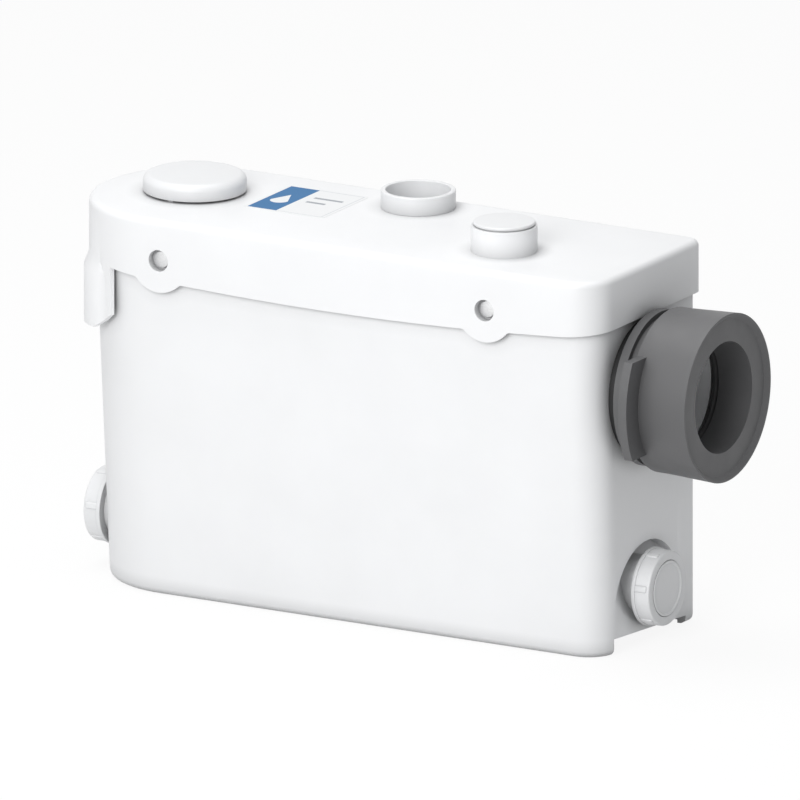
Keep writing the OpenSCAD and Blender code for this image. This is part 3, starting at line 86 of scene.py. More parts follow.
# %% [markdown]
# ## Light and floor
# A pale object on white needs soft light from above and from the front, and much less from the right, so that
# the square end turns grey and the edges can be read. The background is white only for the camera, for
# reflections and for glass. The light that falls on the object comes from the lamps and a dim sky.

# %% Lamps
LAMPS = {
    "key": ((0.35, -2.6, 1.3), 1.6, 46.0),
    "top": ((-0.4, 0.0, 2.6), 2.0, 35.0),
}
for name, (place, size, power) in LAMPS.items():
    lamp_data = bpy.data.lights.new(name, "AREA")
    lamp_data.shape = "DISK"
    lamp_data.size = size
    lamp_data.energy = power
    lamp = bpy.data.objects.new(name, lamp_data)
    scene.collection.objects.link(lamp)
    lamp.location = place
    lamp.rotation_euler = (AIM - lamp.location).to_track_quat("-Z", "Y").to_euler()
print("lamps:", ", ".join(LAMPS))

# %% [markdown]
# The surroundings and all finishes are node trees. A few small helpers keep them short: one sets or links a
# socket, one does a sum, one mixes two colours, and one tells which rays see a surface directly.


# %% Node helpers
def feed(tree, socket, value):
    """Links an output to a socket, or sets the socket to a plain value."""
    if isinstance(value, bpy.types.NodeSocket):
        tree.links.new(value, socket)
    else:
        socket.default_value = value


def math_node(tree, kind, first, second=None):
    """Result of one sum on outputs or numbers."""
    node = tree.nodes.new("ShaderNodeMath")
    node.operation = kind
    feed(tree, node.inputs[0], first)
    if second is not None:
        feed(tree, node.inputs[1], second)
    return node.outputs[0]


def rgba(colour, share=1.0):
    """Colour with its alpha, darkened to a share of itself."""
    return (*(c * share for c in colour), 1.0)


def mixed(tree, factor, first, second):
    """Colour between two, each an output or a colour with its alpha."""
    node = tree.nodes.new("ShaderNodeMix")
    node.data_type = "RGBA"
    for socket, value in (("Factor", factor), ("A", first), ("B", second)):
        feed(tree, node.inputs[socket], value)
    return node.outputs["Result"]


def seen_directly(tree):
    """Factor that is 1 for camera, glossy and transmission rays."""
    path = tree.nodes.new("ShaderNodeLightPath")
    total = path.outputs["Is Camera Ray"]
    for kind in ("Is Glossy Ray", "Is Transmission Ray"):
        total = math_node(tree, "MAXIMUM", total, path.outputs[kind])
    return total


print("node helpers ready")

# %% White surroundings
SKY_LEVEL = 0.36
world = bpy.data.worlds.new("studio")
world.use_nodes = True
scene.world = world
sky_tree = world.node_tree
sky = sky_tree.nodes["Background"]
sky.inputs["Color"].default_value = (0.97, 0.985, 1.0, 1.0)
sky.inputs["Strength"].default_value = SKY_LEVEL
backdrop = sky_tree.nodes.new("ShaderNodeBackground")
backdrop.inputs["Color"].default_value = (1.0, 1.0, 1.0, 1.0)
sky_mix = sky_tree.nodes.new("ShaderNodeMixShader")
sky_tree.links.new(seen_directly(sky_tree), sky_mix.inputs["Fac"])
sky_tree.links.new(sky.outputs[0], sky_mix.inputs[1])
sky_tree.links.new(backdrop.outputs[0], sky_mix.inputs[2])
sky_tree.links.new(sky_mix.outputs[0], sky_tree.nodes["World Output"].inputs["Surface"])

FLOOR_HALF = 8.0
FLOOR_WHITE_SHARE = 0.9
FLOOR_SEEN = (0.98, 0.98, 0.98, 1.0)
FLOOR_BOUNCE = (0.75, 0.75, 0.75, 1.0)
floor_mesh = bpy.data.meshes.new("floor")
floor_mesh.from_pydata(
    [(-FLOOR_HALF, -FLOOR_HALF, 0), (FLOOR_HALF, -FLOOR_HALF, 0),
     (FLOOR_HALF, FLOOR_HALF, 0), (-FLOOR_HALF, FLOOR_HALF, 0)], [], [(0, 1, 2, 3)])
floor = bpy.data.objects.new("floor", floor_mesh)
scene.collection.objects.link(floor)
floor_paint = bpy.data.materials.new("floor_paint")
floor_paint.use_nodes = True
floor_tree = floor_paint.node_tree
seen = seen_directly(floor_tree)
matt = floor_tree.nodes.new("ShaderNodeBsdfDiffuse")
floor_tree.links.new(mixed(floor_tree, seen, FLOOR_BOUNCE, FLOOR_SEEN), matt.inputs["Color"])
glow = floor_tree.nodes.new("ShaderNodeEmission")
glow.inputs["Color"].default_value = (1.0, 1.0, 1.0, 1.0)
floor_mix = floor_tree.nodes.new("ShaderNodeMixShader")
floor_tree.links.new(math_node(floor_tree, "MULTIPLY", seen, FLOOR_WHITE_SHARE), floor_mix.inputs["Fac"])
floor_tree.links.new(matt.outputs[0], floor_mix.inputs[1])
floor_tree.links.new(glow.outputs[0], floor_mix.inputs[2])
floor_tree.links.new(floor_mix.outputs[0], floor_tree.nodes["Material Output"].inputs["Surface"])
floor_mesh.materials.append(floor_paint)
print("floor and sky ready, sky level", SKY_LEVEL)

# %% [markdown]
# ## Finishes
# Nearly everything seen is moulded plastic. It has a faint cloudy change of tone, a roughness that drifts with
# it, and a fine spark-eroded grain from the mould. All three come from noise on Object coordinates, so the
# grain keeps its real size on every piece. Painted shade makes tight inner corners a little darker, which
# separates white from white. The same recipe, with other numbers, gives the grey sleeve and rubber.


# %% Moulded plastic and rubber
def noise(tree, coords, scale, detail):
    """Soft noise on coordinates, mostly between 0.3 and 0.7."""
    node = tree.nodes.new("ShaderNodeTexNoise")
    node.inputs["Scale"].default_value = scale
    node.inputs["Detail"].default_value = detail
    tree.links.new(coords, node.inputs["Vector"])
    return node.outputs["Fac"]


NOISE_LOW, NOISE_HIGH = 0.3, 0.7


def spread(tree, value, low, high):
    """Stretches noise to run from low to high."""
    node = tree.nodes.new("ShaderNodeMapRange")
    node.inputs["From Min"].default_value = NOISE_LOW
    node.inputs["From Max"].default_value = NOISE_HIGH
    node.inputs["To Min"].default_value = low
    node.inputs["To Max"].default_value = high
    tree.links.new(value, node.inputs["Value"])
    return node.outputs["Result"]


def relief(tree, height, strength, depth):
    """Normal of a surface with fine bumps."""
    node = tree.nodes.new("ShaderNodeBump")
    node.inputs["Strength"].default_value = strength
    node.inputs["Distance"].default_value = depth
    tree.links.new(height, node.inputs["Height"])
    return node.outputs["Normal"]


# Painted shade: how far the occlusion test reaches, and how much it darkens tight corners.
PAINTED_SHADE_REACH = 14.0 * MM
PAINTED_SHADE_SHARE = 0.5


def painted_corner_shade(tree, tone):
    """Paints shade into a tone: it is darker in tight inner corners, where shade falls."""
    corner = tree.nodes.new("ShaderNodeAmbientOcclusion")
    corner.inputs["Distance"].default_value = PAINTED_SHADE_REACH
    tree.links.new(tone, corner.inputs["Color"])
    return mixed(tree, PAINTED_SHADE_SHARE, tone, corner.outputs["Color"])


CLOUD_SCALE = 14.0
DRIFT_SCALE = 55.0
DRIFT = 0.05
GRAIN_DEPTH = 0.2 * MM
PLASTIC_IOR = 1.46


def moulded(name, colour, roughness, shade=0.97, grain=1400.0, grain_strength=0.05):
    """Moulded plastic or rubber: cloudy tone, painted shade in tight corners, drifting roughness, fine mould
    grain.
    """
    paint = bpy.data.materials.new(name)
    paint.use_nodes = True
    tree = paint.node_tree
    surface = tree.nodes["Principled BSDF"]
    coords = tree.nodes.new("ShaderNodeTexCoord").outputs["Object"]
    cloud = noise(tree, coords, CLOUD_SCALE, 3.0)
    tone = mixed(tree, spread(tree, cloud, 0.0, 1.0), rgba(colour, shade), rgba(colour))
    # Painted shade in tight corners goes into the base colour.
    tree.links.new(painted_corner_shade(tree, tone), surface.inputs["Base Color"])
    drift = noise(tree, coords, DRIFT_SCALE, 2.0)
    tree.links.new(spread(tree, drift, roughness - DRIFT, roughness + DRIFT), surface.inputs["Roughness"])
    bumps = relief(tree, noise(tree, coords, grain, 2.0), grain_strength, GRAIN_DEPTH)
    tree.links.new(bumps, surface.inputs["Normal"])
    surface.inputs["IOR"].default_value = PLASTIC_IOR
    return paint


white_shell = moulded("white_shell", (0.86, 0.864, 0.872), 0.42)
white_cap = moulded("white_cap", (0.79, 0.795, 0.803), 0.36)
sleeve_grey = moulded("sleeve_grey", (0.118, 0.118, 0.121), 0.5, shade=0.93, grain=1100.0, grain_strength=0.09)
black_rubber = moulded("black_rubber", (0.018, 0.018, 0.019), 0.62, shade=0.8, grain=900.0, grain_strength=0.12)
grey_rubber = moulded("grey_rubber", (0.07, 0.07, 0.072), 0.6, shade=0.85, grain=900.0, grain_strength=0.12)
grey_plastic = moulded("grey_plastic", (0.3, 0.31, 0.33), 0.48, shade=0.94)
black_plastic = moulded("black_plastic", (0.025, 0.025, 0.027), 0.45, shade=0.85)
filter_felt = moulded("filter_felt", (0.03, 0.03, 0.03), 0.9, shade=0.6, grain=420.0, grain_strength=0.5)
print("moulded finishes ready")

# %% [markdown]
# Metal inside the tank is drawn or turned, so its scratches run one way. Stretching the noise along one axis
# gives that direction, and the pale zinc of the lid screws has none. The circuit board is the one piece with a
# pattern: copper tracks under green lacquer.


# %% Metal and board
SCRATCH_SCALE = 900.0
SCRATCH_DEPTH = 0.1 * MM


def drawn_metal(name, colour, roughness, stretch, shade=0.86):
    """Metal with fine marks, drawn out where an axis has a small stretch."""
    paint = bpy.data.materials.new(name)
    paint.use_nodes = True
    tree = paint.node_tree
    surface = tree.nodes["Principled BSDF"]
    coords = tree.nodes.new("ShaderNodeTexCoord").outputs["Object"]
    mapping = tree.nodes.new("ShaderNodeMapping")
    mapping.inputs["Scale"].default_value = stretch
    tree.links.new(coords, mapping.inputs["Vector"])
    marks = noise(tree, mapping.outputs["Vector"], SCRATCH_SCALE, 4.0)
    tone = mixed(tree, spread(tree, marks, 0.0, 1.0), rgba(colour, shade), rgba(colour))
    tree.links.new(tone, surface.inputs["Base Color"])
    tree.links.new(spread(tree, marks, roughness - 0.06, roughness + 0.1), surface.inputs["Roughness"])
    tree.links.new(relief(tree, marks, 0.12, SCRATCH_DEPTH), surface.inputs["Normal"])
    surface.inputs["Metallic"].default_value = 1.0
    return paint


steel = drawn_metal("steel", (0.62, 0.63, 0.65), 0.32, (1.0, 1.0, 0.08))
zinc = drawn_metal("zinc", (0.78, 0.785, 0.79), 0.45, (1.0, 1.0, 1.0))
stack_steel = drawn_metal("stack_steel", (0.42, 0.43, 0.45), 0.45, (0.06, 0.06, 1.0))

board_green = bpy.data.materials.new("board_green")
board_green.use_nodes = True
board_tree = board_green.node_tree
board_coords = board_tree.nodes.new("ShaderNodeTexCoord").outputs["Object"]
tracks = board_tree.nodes.new("ShaderNodeTexBrick")
tracks.inputs["Scale"].default_value = 160.0
tracks.inputs["Mortar Size"].default_value = 0.03
tracks.inputs["Color1"].default_value = (0.02, 0.12, 0.06, 1.0)
tracks.inputs["Color2"].default_value = (0.025, 0.15, 0.075, 1.0)
tracks.inputs["Mortar"].default_value = (0.2, 0.26, 0.1, 1.0)
board_tree.links.new(board_coords, tracks.inputs["Vector"])
board_surface = board_tree.nodes["Principled BSDF"]
board_tree.links.new(tracks.outputs["Color"], board_surface.inputs["Base Color"])
board_surface.inputs["Roughness"].default_value = 0.35

FINISHES = {
    "white_shell": white_shell, "white_cap": white_cap, "sleeve_grey": sleeve_grey,
    "black_rubber": black_rubber, "steel": steel, "stack_steel": stack_steel,
    "grey_plastic": grey_plastic, "black_plastic": black_plastic,
    "board_green": board_green, "filter_carbon": filter_felt,
}
for entry in frame["record"]["subparts"]:
    node_mesh = frame["nodes"][entry["node"]].data
    node_mesh.materials.clear()
    node_mesh.materials.append(FINISHES[entry["material_slot"]])

# %% [markdown]
# ## Tank and lid
# Both are deep mouldings with tapered walls and many openings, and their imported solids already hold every
# opening. What they lack is the soft edge that a mould leaves. A copy of each solid has its points merged, its
# flat triangles joined, and its sharp edges given a small bevel, and smooth shading does the rest.


# %% Softened mouldings
def add_piece(name, mesh, body, slot, *nodes):
    """Links a finished mesh, ties it to its body and its finish, and hides the nodes it stands for."""
    piece = bpy.data.objects.new(name, mesh)
    scene.collection.objects.link(piece)
    if not mesh.materials:
        mesh.materials.append(FINISHES[slot])
    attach(piece, body)
    if nodes:
        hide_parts(*nodes)
    return piece


def smooth_by_angle(mesh, degrees):
    """Smooth shading that breaks at edges sharper than the angle."""
    mesh.polygons.foreach_set("use_smooth", [True] * len(mesh.polygons))
    mesh.set_sharp_from_angle(angle=math.radians(degrees))


MERGE_DISTANCE = 0.002 * MM
FLAT_ANGLE = math.radians(0.4)


def merged_copy(node, name):
    """The node's solid as one connected mesh with its flat areas joined."""
    work = bmesh.new()
    work.from_mesh(frame["nodes"][node].data)
    bmesh.ops.remove_doubles(work, verts=work.verts, dist=MERGE_DISTANCE)
    bmesh.ops.dissolve_limit(
        work, angle_limit=FLAT_ANGLE, verts=work.verts, edges=work.edges, delimit=set())
    work.verts.index_update()
    mesh = bpy.data.meshes.new(name)
    mesh.from_pydata(
        [v.co[:] for v in work.verts], [], [[v.index for v in f.verts] for f in work.faces])
    work.free()
    return mesh


def soften(piece, width, angle=40.0):
    """Rounds the sharp edges of a piece with two small facets."""
    bevel = piece.modifiers.new("soft_edge", "BEVEL")
    bevel.width = width
    bevel.segments = 2
    bevel.limit_method = "ANGLE"
    bevel.angle_limit = math.radians(angle)
    bevel.harden_normals = True


SOFT_EDGE = 0.7 * MM
MOULD_ANGLE = 28.0
for node, name in (("tank", "tank_moulding"), ("lid", "lid_moulding")):
    mesh = merged_copy(node, name)
    smooth_by_angle(mesh, MOULD_ANGLE)
    soften(add_piece(name, mesh, "pump", "white_shell", node), SOFT_EDGE)
    print(name, len(mesh.polygons), "faces")

# %% [markdown]
# ## Turned pieces
# Caps, plug, socket, sleeve and seals are round. Each is drawn as half a section, its corners are rounded by the
# radius a mould would give, and the section is spun into a mesh. Spinning by hand, rather than with a modifier,
# keeps the points exactly on the circle and lets the axis lie along the length or upright.


# %% Section and spin
STRAIGHT = math.radians(170.0)
CORNER_SHARE = 0.48


def section(*points, corner=0.4, steps=5):
    """Closed half section of (along, out) or (along, out, corner) in mm, with rounded corners, in metres."""
    outline = []
    count = len(points)
    for i, point in enumerate(points):
        before, here, after = (Vector(points[(i + k) % count][:2]) for k in (-1, 0, 1))
        radius = point[2] if len(point) > 2 else corner
        to_before, to_after = before - here, after - here
        turn = to_before.angle(to_after)
        if here.y < 1e-6 or turn > STRAIGHT:
            outline.append(here * MM)
            continue
        room = min(to_before.length, to_after.length) * CORNER_SHARE
        reach = min(radius / math.tan(turn / 2), room)
        radius = reach * math.tan(turn / 2)
        middle = (to_before.normalized() + to_after.normalized()).normalized()
        centre = here + middle * (radius / math.sin(turn / 2))
        start = here + to_before.normalized() * reach - centre
        end = here + to_after.normalized() * reach - centre
        for k in range(steps + 1):
            share = k / steps
            arc = start.lerp(end, share).normalized() * radius
            outline.append((centre + arc) * MM)
    return outline


SPIN_SIDES = 160
ROUND_ANGLE = 40.0


def spun(name, outline, centre, along, segments=SPIN_SIDES):
    """Spins a closed outline round the line through centre that runs along '+x', '-x', '-y' or '+z'."""
    work = bmesh.new()
    rows = []
    for run, out in outline:
        row = []
        for k in range(1 if out < 1e-9 else segments):
            a = 2 * math.pi * k / segments
            side, rise = out * math.cos(a), out * math.sin(a)
            local = {
                "+x": (run, side, rise), "-x": (-run, side, rise),
                "-y": (side, -run, rise), "+z": (side, rise, run)}[along]
            row.append(work.verts.new(centre + Vector(local)))
        rows.append(row)
    for row, following in zip(rows, rows[1:] + rows[:1]):
        for k in range(segments):
            ring = [row[k % len(row)], row[(k + 1) % len(row)],
                    following[(k + 1) % len(following)], following[k % len(following)]]
            ring = list(dict.fromkeys(ring))
            if len(ring) > 2:
                work.faces.new(ring)
    bmesh.ops.recalc_face_normals(work, faces=work.faces)
    mesh = bpy.data.meshes.new(name)
    work.to_mesh(mesh)
    work.free()
    smooth_by_angle(mesh, ROUND_ANGLE)
    return mesh


def middle_of(node):
    """Middle of a node's box."""
    low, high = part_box(node)
    return (low + high) / 2


VENT_HEIGHT = 14.0
LID_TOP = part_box("vent_cap")[1].z - VENT_HEIGHT * MM
print("sections are rounded and spun with", SPIN_SIDES, "sides; lid top in mm:", round(LID_TOP / MM, 1))

# %% [markdown]
# ## Copies round an axis
# Grip ribs and feet repeat round an axis. One of them is modelled at the start angle, and a Geometry Nodes tree
# turns copies of it about the X or Z axis. The tree ends in plain geometry, because instances do not export.


# %% Tree for copies round an axis
def new_tree(name, **kinds):
    """Tree with a geometry input and the named inputs: the tree, the inputs' identifiers and their node."""
    tree = bpy.data.node_groups.new(name, "GeometryNodeTree")
    face = tree.interface
    face.new_socket("Geometry", in_out="INPUT", socket_type="NodeSocketGeometry")
    sockets = {
        label: face.new_socket(label, in_out="INPUT", socket_type="NodeSocket" + kind).identifier
        for label, kind in kinds.items()}
    face.new_socket("Geometry", in_out="OUTPUT", socket_type="NodeSocketGeometry")
    return tree, sockets, tree.nodes.new("NodeGroupInput")


def turned_copies(tree, start, points, axis, angle):
    """Plain copies of the tree's input geometry on points, each turned about the axis by its angle."""
    rotation = tree.nodes.new("FunctionNodeAxisAngleToRotation")
    feed(tree, rotation.inputs["Axis"], axis)
    tree.links.new(angle, rotation.inputs["Angle"])
    copies = tree.nodes.new("GeometryNodeInstanceOnPoints")
    tree.links.new(points, copies.inputs["Points"])
    tree.links.new(start.outputs["Geometry"], copies.inputs["Instance"])
    tree.links.new(rotation.outputs[0], copies.inputs["Rotation"])
    plain = tree.nodes.new("GeometryNodeRealizeInstances")
    tree.links.new(copies.outputs[0], plain.inputs[0])
    return plain.outputs[0]


def painted_end(tree, start, geometry):
    """Ends the tree with its material on the geometry."""
    paint = tree.nodes.new("GeometryNodeSetMaterial")
    tree.links.new(geometry, paint.inputs["Geometry"])
    tree.links.new(start.outputs["Material"], paint.inputs["Material"])
    tree.links.new(paint.outputs[0], tree.nodes.new("NodeGroupOutput").inputs[0])


def ring_tree():
    """Tree that turns copies of its input geometry about an axis through Centre."""
    tree, sockets, start = new_tree(
        "copies_round_axis", Count="Int", Axis="Vector", Centre="Vector", Material="Material")
    points = tree.nodes.new("GeometryNodePoints")
    tree.links.new(start.outputs["Count"], points.inputs["Count"])
    tree.links.new(start.outputs["Centre"], points.inputs["Position"])
    index = tree.nodes.new("GeometryNodeInputIndex")
    share = math_node(tree, "DIVIDE", index.outputs[0], start.outputs["Count"])
    turn = math_node(tree, "MULTIPLY", share, 2 * math.pi)
    painted_end(tree, start, turned_copies(tree, start, points.outputs[0], start.outputs["Axis"], turn))
    return tree, sockets


def grown(name, seed_mesh, tree, sockets, **values):
    """Plain mesh that a tree makes of seed_mesh with these inputs."""
    carrier = bpy.data.objects.new(name + "_seed", seed_mesh)
    scene.collection.objects.link(carrier)
    modifier = carrier.modifiers.new("copies", "NODES")
    modifier.node_group = tree
    for label, value in values.items():
        modifier[sockets[label]] = value
    bpy.context.view_layer.update()
    graph = bpy.context.evaluated_depsgraph_get()
    mesh = bpy.data.meshes.new_from_object(carrier.evaluated_get(graph))
    mesh.name = name
    bpy.data.objects.remove(carrier)
    smooth_by_angle(mesh, ROUND_ANGLE)
    return mesh


RING_TREE, RING_SOCKETS = ring_tree()


def copies_round(name, seed_mesh, count, axis, centre, slot):
    """Plain mesh of count copies of seed_mesh, which is modelled about the origin."""
    return grown(
        name, seed_mesh, RING_TREE, RING_SOCKETS,
        Count=count, Axis=axis, Centre=centre, Material=FINISHES[slot])


def soft_bar(name, size, place, edge):
    """Box with rounded edges: size and place of its middle in metres."""
    work = bmesh.new()
    bmesh.ops.create_cube(work, size=1.0)
    bmesh.ops.scale(work, vec=size, verts=work.verts)
    bmesh.ops.bevel(work, geom=work.edges[:], offset=edge, segments=4, affect="EDGES", profile=0.5)
    bmesh.ops.translate(work, vec=place, verts=work.verts)
    mesh = bpy.data.meshes.new(name)
    work.to_mesh(mesh)
    work.free()
    return mesh


print("tree inputs:", ", ".join(RING_SOCKETS))

# %% [markdown]
# ## Vent cap
# A low round lid with a generous upper edge covers the air filter. It stands on four feet, and the gap that they
# leave is the dark line under it. The cap is spun, and the feet are copies round its axis.

# %% Vent cap
vent_centre = middle_of("vent_cap")
vent_centre.z = LID_TOP
VENT_RADIUS = 38.0
vent_outline = section(
    (VENT_HEIGHT, 0), (VENT_HEIGHT, VENT_RADIUS, 5.5), (1.5, VENT_RADIUS, 0.5), (1.5, 35), (5.5, 35),
    (5.5, 30.6), (-3, 30.6), (-3, 27.6), (11, 27.6), (11, 0))
vent_mesh = spun("vent_cap_cover", vent_outline, vent_centre, "+z")
add_piece("vent_cap_cover", vent_mesh, "vent_cap", "white_cap", "vent_cap")
FOOT_SIZE = Vector((5.6, 4.0, 5.8)) * MM
FOOT_PLACE = Vector((32.9, 0.0, 2.9)) * MM
FOOT_COUNT = 4
foot_seed = soft_bar("vent_foot", FOOT_SIZE, FOOT_PLACE, 0.3 * MM)
feet_mesh = copies_round("vent_cap_feet", foot_seed, FOOT_COUNT, (0, 0, 1), vent_centre, "white_cap")
add_piece("vent_cap_feet", feet_mesh, "vent_cap", "white_cap")
print("vent cap radius in mm:", VENT_RADIUS, "on", FOOT_COUNT, "feet")

# %% [markdown]
# ## Discharge socket and plug
# The socket is an open ring: its rim is thin, so both rim edges are rounded. The plug closes the spigot of the
# lid. Its head is a flat disc with a rounded edge, and a step under the head leaves a fine shadow line on the rim.

# %% Discharge socket and inlet plug
socket_centre = middle_of("discharge_socket")
socket_centre.z = LID_TOP
socket_outline = section(
    (-49, 12.5), (-49, 15.5), (-23, 15.5), (-5, 25.65), (0, 25.65), (0, 27.5, 0.3), (13.5, 27.5, 0.9),
    (13.5, 23.85, 0.7), (-2, 23.85), (-23, 12.5))
add_piece(
    "discharge_ring", spun("discharge_ring", socket_outline, socket_centre, "+z"),
    "pump", "white_cap", "discharge_socket")
SPIGOT_HEIGHT = 19.5
plug_centre = middle_of("inlet_plug")
plug_centre.z = LID_TOP + SPIGOT_HEIGHT * MM
plug_outline = section(
    (3, 0), (3, 22.8, 1.1), (0.8, 22.8, 0.4), (0.8, 21.8, 0.1), (0, 21.8, 0.1), (0, 21), (-11.8, 21, 0.1),
    (-11.8, 19.5, 0.1), (-14.8, 19.5, 0.1), (-14.8, 21, 0.1), (-20, 21), (-20, 18), (0, 18), (0, 0))
add_piece(
    "inlet_plug_head", spun("inlet_plug_head", plug_outline, plug_centre, "+z"),
    "inlet_plug", "white_cap", "inlet_plug")
print("socket and plug spun, spigot height in mm:", SPIGOT_HEIGHT)

# %% [markdown]
# ## Sleeve for the pan outlet
# The grey sleeve turns on the tank's neck and locks there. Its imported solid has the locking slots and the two
# grip wings, so a softened copy of it is kept, and the seals on both sides of it are spun.

# %% WC sleeve and seals
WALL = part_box("wc_ring_seal")[0].x
sleeve_centre = middle_of("wc_ring_seal")
sleeve_centre.x = WALL
sleeve_mesh = merged_copy("wc_sleeve", "wc_sleeve_barrel")
SLEEVE_ANGLE = 30.0
SLEEVE_EDGE = 0.9 * MM
smooth_by_angle(sleeve_mesh, SLEEVE_ANGLE)
soften(add_piece("wc_sleeve_barrel", sleeve_mesh, "wc_sleeve", "sleeve_grey", "wc_sleeve"), SLEEVE_EDGE)
ring_outline = section((0, 48.1), (0, 51.3, 0.8), (5.5, 51.3, 1.2), (7.7, 50.3, 0.8), (7.7, 48.1))
add_piece(
    "wall_seal_ring", spun("wall_seal_ring", ring_outline, sleeve_centre, "+x"),
    "pump", "black_rubber", "wc_ring_seal")
lip_outline = section((33, 57.1), (39, 57.1), (39, 46, 1.2), (36, 43, 1.2), (33, 43, 0.6))
lip_mesh = spun("pan_lip_seal", lip_outline, sleeve_centre, "+x")
lip_mesh.materials.append(grey_rubber)
add_piece("pan_lip_seal", lip_mesh, "wc_sleeve", "black_rubber", "wc_lip_seal")
print("sleeve starts at the wall, x =", round(WALL / MM, 2), "mm")

# %% [markdown]
# ## Capped side inlets
# Each inlet is closed by a blank disc that a union nut pulls against the neck. The nut has a flange, a slight
# taper and grip ribs with rounded ends, and the disc shows through its face with a ring-shaped groove. Nut and
# disc are spun, and the ribs are copies round the nut's axis.

# %% Union nuts and blank discs
NUT_LENGTH = 14.5
RIB_COUNT = 6
RIB_START = math.radians(50.0)
RIB_SIZE = Vector((10.1, 2.4, 5.2)) * MM
RIB_ALONG = 7.45
RIB_OUT = 27.6
RIB_EDGE = 1.15 * MM
for side, along, sign in (("right", "+x", 1.0), ("left", "-x", -1.0)):
    low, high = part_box(side + "_union_nut")
    centre = (low + high) / 2
    centre.x = (high.x if sign > 0 else low.x) - sign * NUT_LENGTH * MM
    nut_outline = section(
        (0, 22.4), (0, 29, 0.6), (3, 29, 0.6), (3, 28.1, 0.3), (NUT_LENGTH, 27.8, 1.3), (NUT_LENGTH, 21, 0.5),
        (11, 21, 0.2), (11, 22.4, 0.2))
    nut_mesh = spun(side + "_nut", nut_outline, centre, along)
    add_piece(side + "_nut", nut_mesh, side + "_nut", "white_cap", side + "_union_nut")
    rib = soft_bar(side + "_rib", RIB_SIZE, Vector((sign * RIB_ALONG, RIB_OUT, 0)) * MM, RIB_EDGE)
    rib.transform(Matrix.Rotation(RIB_START, 4, "X"))
    ribs = copies_round(side + "_nut_ribs", rib, RIB_COUNT, (1, 0, 0), centre, "white_cap")
    add_piece(side + "_nut_ribs", ribs, side + "_nut", "white_cap")
    disc_outline = section(
        (8.5, 0), (8.5, 21.9), (10.95, 21.9), (10.95, 20.7, 0.2), (15, 20.7, 0.5), (15, 19.1, 0.4),
        (14, 18.3, 0.4), (14, 0))
    disc_mesh = spun(side + "_disc", disc_outline, centre, along)
    add_piece(side + "_disc", disc_mesh, side + "_cap", "white_cap", side + "_blank_disc")
    print(side, "cap from x =", round(centre.x / MM, 2), "mm,", RIB_COUNT, "ribs")

# %% [markdown]
# ## Lid screws
# Two screws on the front and two on the back hold the lid, deep in round recesses. Seen from outside each is a
# pale, slightly domed disc. A grid of points gives the four places, and the two at the back are turned round.


# %% Tree for the lid screws
def screw_tree():
    """Tree that puts its input geometry at the corners of a grid, facing out to the front and to the back."""
    tree, sockets, start = new_tree(
        "lid_screw_places", Length="Float", Depth="Float", Middle="Vector", Material="Material")
    grid = tree.nodes.new("GeometryNodeMeshGrid")
    grid.inputs["Vertices X"].default_value = 2
    grid.inputs["Vertices Y"].default_value = 2
    tree.links.new(start.outputs["Length"], grid.inputs["Size X"])
    tree.links.new(start.outputs["Depth"], grid.inputs["Size Y"])
    place = tree.nodes.new("GeometryNodeInputPosition")
    axes = tree.nodes.new("ShaderNodeSeparateXYZ")
    tree.links.new(place.outputs[0], axes.inputs[0])
    behind = math_node(tree, "GREATER_THAN", axes.outputs["Y"], 0.0)
    half_turn = math_node(tree, "MULTIPLY", behind, math.pi)
    shift = tree.nodes.new("GeometryNodeTransform")
    tree.links.new(
        turned_copies(tree, start, grid.outputs["Mesh"], (0, 0, 1), half_turn), shift.inputs["Geometry"])
    tree.links.new(start.outputs["Middle"], shift.inputs["Translation"])
    painted_end(tree, start, shift.outputs[0])
    return tree, sockets


SCREW_TREE, SCREW_SOCKETS = screw_tree()
print("tree inputs:", ", ".join(SCREW_SOCKETS))

# %% Lid screws
HEAD = 6.35
SCREW_SIDES = 64
screw_low, screw_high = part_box("lid_screws")
screw_outline = section(
    (0.5, 0), (0.0, HEAD, 0.6), (-2.5, HEAD, 0.2), (-2.5, 2, 0.1), (-21, 2), (-22, 0))
screw_mesh = spun("lid_screw_seed", screw_outline, Vector((0, 0, 0)), "-y", segments=SCREW_SIDES)
screws_mesh = grown(
    "lid_screw_heads", screw_mesh, SCREW_TREE, SCREW_SOCKETS,
    Length=screw_high.x - screw_low.x - 2 * HEAD * MM, Depth=screw_high.y - screw_low.y,
    Middle=middle_of("lid_screws"), Material=zinc)
add_piece("lid_screw_heads", screws_mesh, "pump", "steel", "lid_screws")
print("lid screws:", len(screws_mesh.polygons) // len(screw_mesh.polygons))

# %% [markdown]
# ## Sticker
# A thin paper sticker lies on the lid between the vent cap and the socket. Its print is plain: a pale ground, a
# fine frame, a blue band with a drop left out of it, and two short rules. The print is worked out from Object
# coordinates, so there is no picture file.

# %% Sticker sheet
STICKER_MIDDLE = Vector((-101.4 * MM, 19.5 * MM, LID_TOP))
STICKER_SIZE = Vector((67.0, 69.0)) * MM
STICKER_CORNER = 3.0 * MM
STICKER_THICKNESS = 0.15 * MM


def rounded_sheet(name, middle, size, corner, thickness, steps=8):
    """Flat sheet with rounded corners, lying on the height of its middle."""
    work = bmesh.new()
    ring = []
    for sx, sy, start in ((1, 1, 0.0), (-1, 1, 0.5), (-1, -1, 1.0), (1, -1, 1.5)):
        for k in range(steps + 1):
            a = math.pi * (start + 0.5 * k / steps)
            ring.append(work.verts.new(middle + Vector((
                sx * (size.x / 2 - corner) + corner * math.cos(a),
                sy * (size.y / 2 - corner) + corner * math.sin(a), 0.0))))
    base = work.faces.new(ring)
    raised = bmesh.ops.extrude_face_region(work, geom=[base])
    top = [v for v in raised["geom"] if isinstance(v, bmesh.types.BMVert)]
    bmesh.ops.translate(work, vec=(0, 0, thickness), verts=top)
    bmesh.ops.recalc_face_normals(work, faces=work.faces)
    mesh = bpy.data.meshes.new(name)
    work.to_mesh(mesh)
    work.free()
    return mesh


